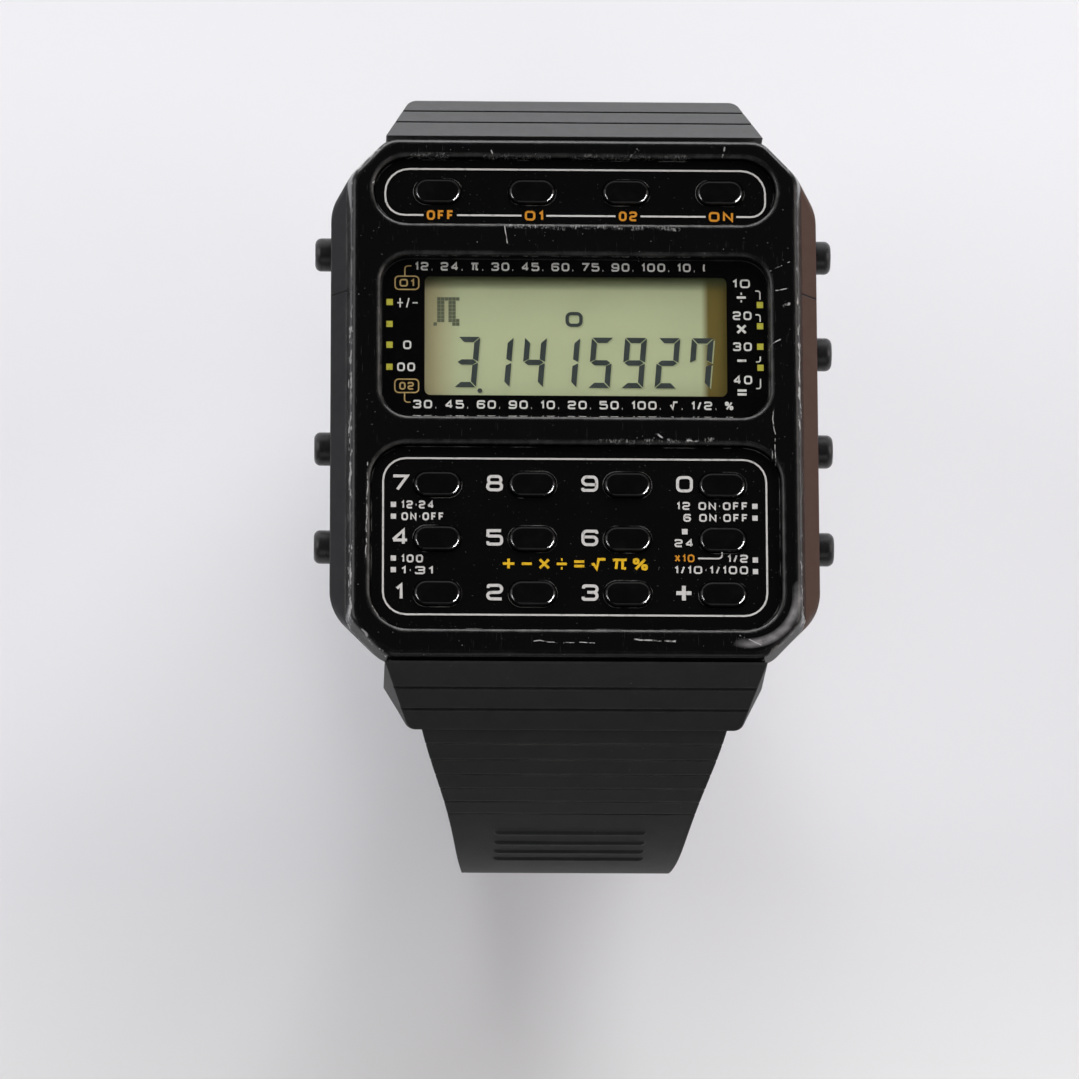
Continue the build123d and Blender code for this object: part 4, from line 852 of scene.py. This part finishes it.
w, h, b, g = figure_width, figure_height, figure_bar, figure_gap
figure_parts = {
    "a": [(g, h), (w - g, h), (w - b - g, h - b), (b + g, h - b)],
    "b": [(w, h - g), (w, h / 2 + g), (w - b, h / 2 + b / 2 + g), (w - b, h - b - g)],
    "c": [(w, h / 2 - g), (w, g), (w - b, b + g), (w - b, h / 2 - b / 2 - g)],
    "d": [(g, 0), (w - g, 0), (w - b - g, b), (b + g, b)],
    "e": [(0, h / 2 - g), (0, g), (b, b + g), (b, h / 2 - b / 2 - g)],
    "f": [(0, h - g), (0, h / 2 + g), (b, h / 2 + b / 2 + g), (b, h - b - g)],
    "g": [
        (g * 2, h / 2), (b * 0.8 + g, h / 2 + b / 2), (w - b * 0.8 - g, h / 2 + b / 2),
        (w - g * 2, h / 2), (w - b * 0.8 - g, h / 2 - b / 2), (b * 0.8 + g, h / 2 - b / 2),
    ],
}
figures = ("abgcd", "bc", "fgbc", "bc", "afgcd", "afbgcd", "abged", "afbc")
dot_rows = ("0111111", "0110110", "0110110", "0110110", "0110110", "0110110", "0110111", "1000011")
dot_pitch = 0.285
figure_base, shadow_base = figure_top + 0.014, figure_top + 0.004
painted_shadow_film = thin_film("crystal_painted_shadow", 0.45, 0.1, 2 * mm, (0.258, 0.283, 0.165), (0.295, 0.318, 0.190))
figure_film = thin_film("crystal_figure", 0.4, 0.2, 0.8 * mm, (0.022, 0.028, 0.030), (0.038, 0.046, 0.042))
dot_film = thin_film("crystal_dots", 0.4, 0.1, 0.8 * mm, (0.086, 0.095, 0.060), (0.115, 0.124, 0.080))
# Painted shadow: an offset copy of the figures, a little darker than the panel, lies under them
for name, film, shift_x, shift_y, base in (
    ("figure_painted_shadows", painted_shadow_film, 0.1, -0.09, shadow_base),
    ("crystal_figures", figure_film, 0, 0, figure_base),
):
    mesh = bmesh.new()
    for place, parts in enumerate(figures):
        left = first_figure_right + place * figure_pitch - figure_width - figure_lean * figure_height
        for part in parts:
            add_plate(mesh, [
                (left + x + y * figure_lean + shift_x, figure_bottom + y + shift_y)
                for x, y in figure_parts[part]
            ], base)
    add_plate(mesh, [
        (-7.2 + 0.19 * cos(step * pi / 6) + shift_x, 0.76 + 0.19 * sin(step * pi / 6) + shift_y)
        for step in range(12)
    ], base)
    ring_line = rounded_loop((-0.05 + shift_x, 6.42 + shift_y), (1.05, 0.92), 0.32)
    lay_line(mesh, ring_line, 0.26, base, True)
    finish_piece(mesh, name, film)

dot_sign = bmesh.new()
dot_side = dot_pitch * 0.93
for row, dots in enumerate(dot_rows):
    for column, dot in enumerate(dots):
        if dot == "1":
            x, y = -10.72 + column * dot_pitch, 8.12 - row * dot_pitch
            dot_corners = [(x, y), (x, y - dot_side), (x + dot_side, y - dot_side), (x + dot_side, y)]
            add_plate(dot_sign, dot_corners, figure_base)
finish_piece(dot_sign, "crystal_dot_sign", dot_film)

# Strap. Two halves of soft black resin, moulded with a fine matte grain, stepped heads that
# follow the case and shallow grooves below them. The buckled shape is its worn set.
strap_colour = (0.0270, 0.0275, 0.0287)
strap_painted_shade_colour = (0.004, 0.0042, 0.0045)
strap = Surface("strap_resin", strap_colour, 0.5, specular=0.4)
strap.shader.inputs["Sheen Weight"].default_value = 0.12
strap.shader.inputs["Sheen Roughness"].default_value = 0.4
soften_edges(strap, 0.15 * mm)
strap_along = strap.axes(strap.point((1 / mm, 1 / mm, 1 / mm)))["Y"]
# Dust in the fine grooves of the turn, found by ambient occlusion; its pale lines are also a painted
# highlight for groove edges that catch the light
strap_hollow = strap.add("AmbientOcclusion", samples=4, Distance=0.25 * mm)
strap_groove_dust_and_highlight = strap.math(
    "MULTIPLY", strap.remap(strap_hollow.outputs["AO"], 0.85, 0.45, 0.0, 0.8),
    strap.remap(strap.math("ABSOLUTE", strap_along), 24.6, 24.9),
    strap.remap(strap.noise(2.5 * mm, (0.3, 1, 1)), 0.35, 0.6, 0.2, 1.0),
)
strap_specks = strap.remap(strap.noise(0.14 * mm, detail=1.0), 0.79, 0.84)
strap_seen = strap.mix(strap.noise(5 * mm), (0.0243, 0.0248, 0.0260), (0.0300, 0.0306, 0.0318))
for factor, colour in (
    # Painted shade: the strap's colour darkens towards its lower end
    (strap.remap(strap_along, 0.0, -22.0, 0.0, 0.4), strap_painted_shade_colour),
    (worn_edges(strap, 0.3 * mm, 0.5), (0.05, 0.05, 0.052)),
    (strap_groove_dust_and_highlight, (0.16, 0.16, 0.155)), (strap_specks, (0.20, 0.20, 0.19)),
):
    strap_seen = strap.mix(factor, strap_seen, colour)
strap.give("Base Color", strap_seen)
strap_end_dull = strap.remap(strap_along, 0.0, -28.0, 0.0, 0.44)
strap.give("Roughness", strap.math("ADD", strap.uneven(1.5 * mm, 0.46, 0.54), strap_end_dull))
strap.bump(strap.noise(0.09 * mm), 0.008 * mm)
dress(strap, "strap_upper", "strap_lower", "strap_keeper")

# Strap ribs. Four straight ridges across the lower strap where it turns under, a grip for the
# thumb that pulls the strap tight; moulded with the strap and of the same resin.
strap_bend = Vector((0, -5.2927, -12.4861))
strap_bend_radius = 26.0
rib_half_length, rib_half_width = 5.9, 0.3
rib_angles = (4.6, 8.3, 12.0, 15.7)
rib_root, rib_lift = -0.12, 0.22
rib_sections = ((-1, 0), (-0.96, 0.8), (-0.92, 1), (0.92, 1), (0.96, 0.8), (1, 0))
ribs = bmesh.new()
for rib_angle in rib_angles:
    rings = []
    for along, rise in rib_sections:
        ring = []
        for share, lift in ((-1, 0), (-0.75, 0.45), (-0.3, 1), (0.3, 1), (0.75, 0.45), (1, 0)):
            angle = radians(rib_angle) + share * rib_half_width / strap_bend_radius
            radius = strap_bend_radius + rib_root + (rib_lift - rib_root) * lift * rise
            ring.append(ribs.verts.new((
                along * rib_half_length * mm,
                (strap_bend.y - radius * cos(angle)) * mm,
                (strap_bend.z + radius * sin(angle)) * mm,
            )))
        rings.append(ring)
    join_run(ribs, rings)
finish_piece(ribs, "strap_ribs", strap)

# Case back and its screws. A pressed plate of stainless steel with brush lines from its finishing,
# and four turned screws that hold it and the gasket to the case.
steel_colour = (0.60, 0.60, 0.585)


def brushed_metal(name, colour, stretch, roughness=0.28, marks=0.1):
    """Brushed metal whose lines run along the axis that is stretched least, with rubbed marks."""
    metal = Surface(name, colour, roughness, 1.0)
    soften_edges(metal, 0.1 * mm)
    lines = metal.noise(0.08 * mm, stretch, detail=2.0)
    rubs = metal.remap(metal.noise(1.6 * mm, detail=4.0), 0.45, 0.7, 0.0, marks)
    dark, worn = (tuple(channel * share for channel in colour) for share in (0.82, 0.5))
    metal.give("Base Color", metal.mix(rubs, metal.mix(lines, dark, colour), worn))
    line_gloss = metal.remap(lines, 0.3, 0.7, roughness - 0.08, roughness + 0.12)
    metal.give("Roughness", metal.math("ADD", line_gloss, rubs))
    metal.bump(lines, 0.002 * mm)
    return metal


dress(brushed_metal("back_steel", steel_colour, (1, 0.03, 1), marks=0.25), "case_back")
dress(brushed_metal("screw_steel", (0.66, 0.66, 0.65), (1, 1, 0.1), 0.2), "case_back_screws")

# Buckle. A bent frame and prong of stainless steel on a solid bar, brushed along the frame and
# rubbed bright by the table, with the spring bars of the strap in the same steel.
dress(brushed_metal("buckle_steel", (0.64, 0.64, 0.63), (0.04, 1, 1), 0.24, 0.3), "buckle_frame")
dress(brushed_metal("prong_steel", (0.64, 0.64, 0.63), (1, 0.04, 1), 0.24, 0.2), "buckle_prong")
turned_steel = brushed_metal("turned_steel", (0.58, 0.58, 0.57), (1, 0.1, 0.1), 0.3)
dress(turned_steel, "buckle_bar", "spring_bar_upper", "spring_bar_lower")

# Springs, clamp and module screws. Spring steel wire and strip, bare and a little darker than
# the outside steel, and small plated screws. The eight pusher coils are parted from their common
# solid into one piece each.
spring_steel = brushed_metal("spring_steel", (0.46, 0.45, 0.43), (1, 1, 0.2), 0.32)
dress(spring_steel, "buzzer_spring", "battery_clamp")
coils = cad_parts["pusher_springs"].data
coil_room = 2 * mm
for side_name, side in pusher_sides:
    for place in range(1, 5):
        middle = middle_of(f"pusher_{side_name}_{place}")[1]
        coil = bmesh.new()
        coil.from_mesh(coils)
        bmesh.ops.delete(coil, geom=[
            corner for corner in coil.verts
            if corner.co.x * side < 0 or abs(corner.co.y - middle) > coil_room
        ], context="VERTS")
        bmesh.ops.remove_doubles(coil, verts=coil.verts, dist=0.0005 * mm)
        spring = finish_piece(coil, f"coil_{side_name}_{place}", spring_steel)
        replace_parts(spring, "pusher_springs")
        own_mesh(spring)
dress(brushed_metal("plated_screw", (0.62, 0.60, 0.54), (1, 1, 0.2), 0.22), "module_screws")

# Cell and crystal. A button cell in a drawn steel can with a matte nickel face, and a watch
# crystal in a small tinned tube.
dress(brushed_metal("cell_nickel", (0.66, 0.65, 0.61), (1, 1, 0.3), 0.36, 0.3), "battery")
dress(brushed_metal("tinned_can", (0.70, 0.70, 0.69), (1, 0.06, 1), 0.18), "quartz_crystal")

# Seals. The case gasket and eight pusher rings of black nitrile rubber, dull and lightly greased,
# squeezed between the walls that they seal.


def moulded(name, colour, roughness, grain, depth):
    """Moulded or cast surface: clouded colour, uneven gloss and a fine grain of this size."""
    cast = Surface(name, colour, roughness)
    dark, light = (tuple(channel * share for channel in colour) for share in (0.8, 1.2))
    cast.give("Base Color", cast.mix(cast.noise(grain * 20), dark, light))
    cast.give("Roughness", cast.uneven(grain * 6, roughness - 0.08, roughness + 0.08))
    cast.bump(cast.noise(grain), depth)
    return cast


nitrile = moulded("nitrile", (0.016, 0.016, 0.017), 0.5, 0.08 * mm, 0.003 * mm)
dress(nitrile, "case_gasket", "pusher_seals")

# Module frame. A moulded carrier of dark resin that holds display, boards and cell together,
# with the fine spark texture of its tool.
module_resin = moulded("module_resin", (0.085, 0.086, 0.088), 0.5, 0.06 * mm, 0.005 * mm)
dress(module_resin, "module_frame")

# Key membrane and connector strips. Grey silicone rubber: a soft sheet under each group of keys
# with a dome under each key, which the key flattens, and two strips in which dark carbon layers lie
# between clear ones.
membrane_silicone = moulded("grey_silicone", (0.43, 0.43, 0.41), 0.48, 0.1 * mm, 0.003 * mm)
membrane_low, membrane_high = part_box("key_membrane")
sheet_thickness = 0.33
dome_profile = ((0.8, 0.0), (0.8, 0.44), (0.68, 0.6), (0.56, 0.72), (0.5, 0.82), (0.46, 0.84))
dome_steps = 32
sheets = bmesh.new()
for y_low, y_high in ((14.8, 17.7), (-16.75, -5.37)):
    sheet_size = ((membrane_high[0] - membrane_low[0]) / mm, y_high - y_low)
    sheet_middle = (middle_of("key_membrane")[0] / mm, (y_high + y_low) / 2)
    add_plate(sheets, rounded_loop(sheet_middle, sheet_size, 0.6), membrane_low[2] / mm, sheet_thickness)
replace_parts(finish_piece(sheets, "membrane_sheets", membrane_silicone), "key_membrane")
for node_name in all_keys:
    dome_x, dome_y, _ = middle_of(node_name)
    dome_mesh = bmesh.new()
    turns = [2 * pi * step / dome_steps for step in range(dome_steps)]
    rings = [[
        dome_mesh.verts.new((
            dome_x + radius * mm * cos(turn), dome_y + radius * mm * sin(turn),
            membrane_low[2] + height * mm,
        ))
        for turn in turns
    ] for radius, height in dome_profile]
    for side in join_run(dome_mesh, rings):
        side.smooth = True
    dome = finish_piece(dome_mesh, f"dome_{node_name}", membrane_silicone)
    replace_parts(dome, "key_membrane")
    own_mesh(dome)
layered = moulded("layered_silicone", (0.50, 0.50, 0.48), 0.45, 0.1 * mm, 0.002 * mm)
layers = layered.add("TexWave", bands_direction="X", Scale=1 / (2.4 * mm), Distortion=0.1)
layered.feed(layers.inputs["Vector"], layered.point())
carbon = layered.remap(layers.outputs["Fac"], 0.45, 0.55)
layered.give("Base Color", layered.mix(carbon, layered.given("Base Color"), (0.03, 0.03, 0.03)))
dress(layered, "lcd_connectors")

# Circuit boards. Glass fibre sheets under green lacquer, with copper tracks that show lighter
# through it and gilt pads; the chip on the main board is capped in black epoxy.
board = moulded("green_lacquer", (0.035, 0.16, 0.07), 0.32, 0.12 * mm, 0.002 * mm)
tracks = board.add("TexBrick", Scale=1 / (8 * mm), Mortar_Size=0.02, Brick_Width=0.6, Row_Height=0.09)
board.feed(tracks.inputs["Vector"], board.point())
pads = board.add("TexVoronoi", Scale=1 / (2.2 * mm))
board.feed(pads.inputs["Vector"], board.point((1, 1, 0)))
tracked = board.mix(tracks.outputs["Fac"], board.given("Base Color"), (0.07, 0.28, 0.12))
gilt = board.remap(pads.outputs["Distance"], 0.19, 0.16)
board.give("Base Color", board.mix(gilt, tracked, (0.72, 0.52, 0.22)))
dress(board, "key_circuit_board", "main_circuit_board")
epoxy = moulded("black_epoxy", (0.014, 0.014, 0.015), 0.34, 0.15 * mm, 0.004 * mm)
dress(epoxy, "processor_chip")

# Buzzer. A thin brass disc with a silvered ceramic wafer cemented to its middle, which bends
# the disc to sound it.
buzzer = brushed_metal("buzzer_brass", (0.70, 0.52, 0.25), (1, 0.1, 1), 0.3)
buzzer_low, buzzer_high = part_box("piezo_buzzer")
buzzer_radius = (buzzer_high[0] - buzzer_low[0]) / 2
from_middle = buzzer.vectors("DISTANCE", buzzer.point((1, 1, 0)), (*middle_of("piezo_buzzer")[:2], 0))
outside_wafer = buzzer.remap(from_middle, buzzer_radius * 0.68, buzzer_radius * 0.7)
buzzer.give("Base Color", buzzer.mix(outside_wafer, (0.74, 0.73, 0.70), buzzer.given("Base Color")))
dress(buzzer, "piezo_buzzer")

# Display lamp and insulating sheet. A tiny clear glass bulb, and a yellow polyimide film that
# keeps the cell off the main board.
lamp_glass = Surface("bulb_glass", (0.95, 0.91, 0.78), 0.05)
lamp_glass.shader.inputs["Transmission Weight"].default_value = 0.9
lamp_glass.give("Roughness", lamp_glass.uneven(0.4 * mm, 0.03, 0.12))
dress(lamp_glass, "backlight_lamp")
polyimide = moulded("polyimide_film", (0.72, 0.50, 0.12), 0.25, 0.2 * mm, 0.001 * mm)
dress(polyimide, "battery_insulator")
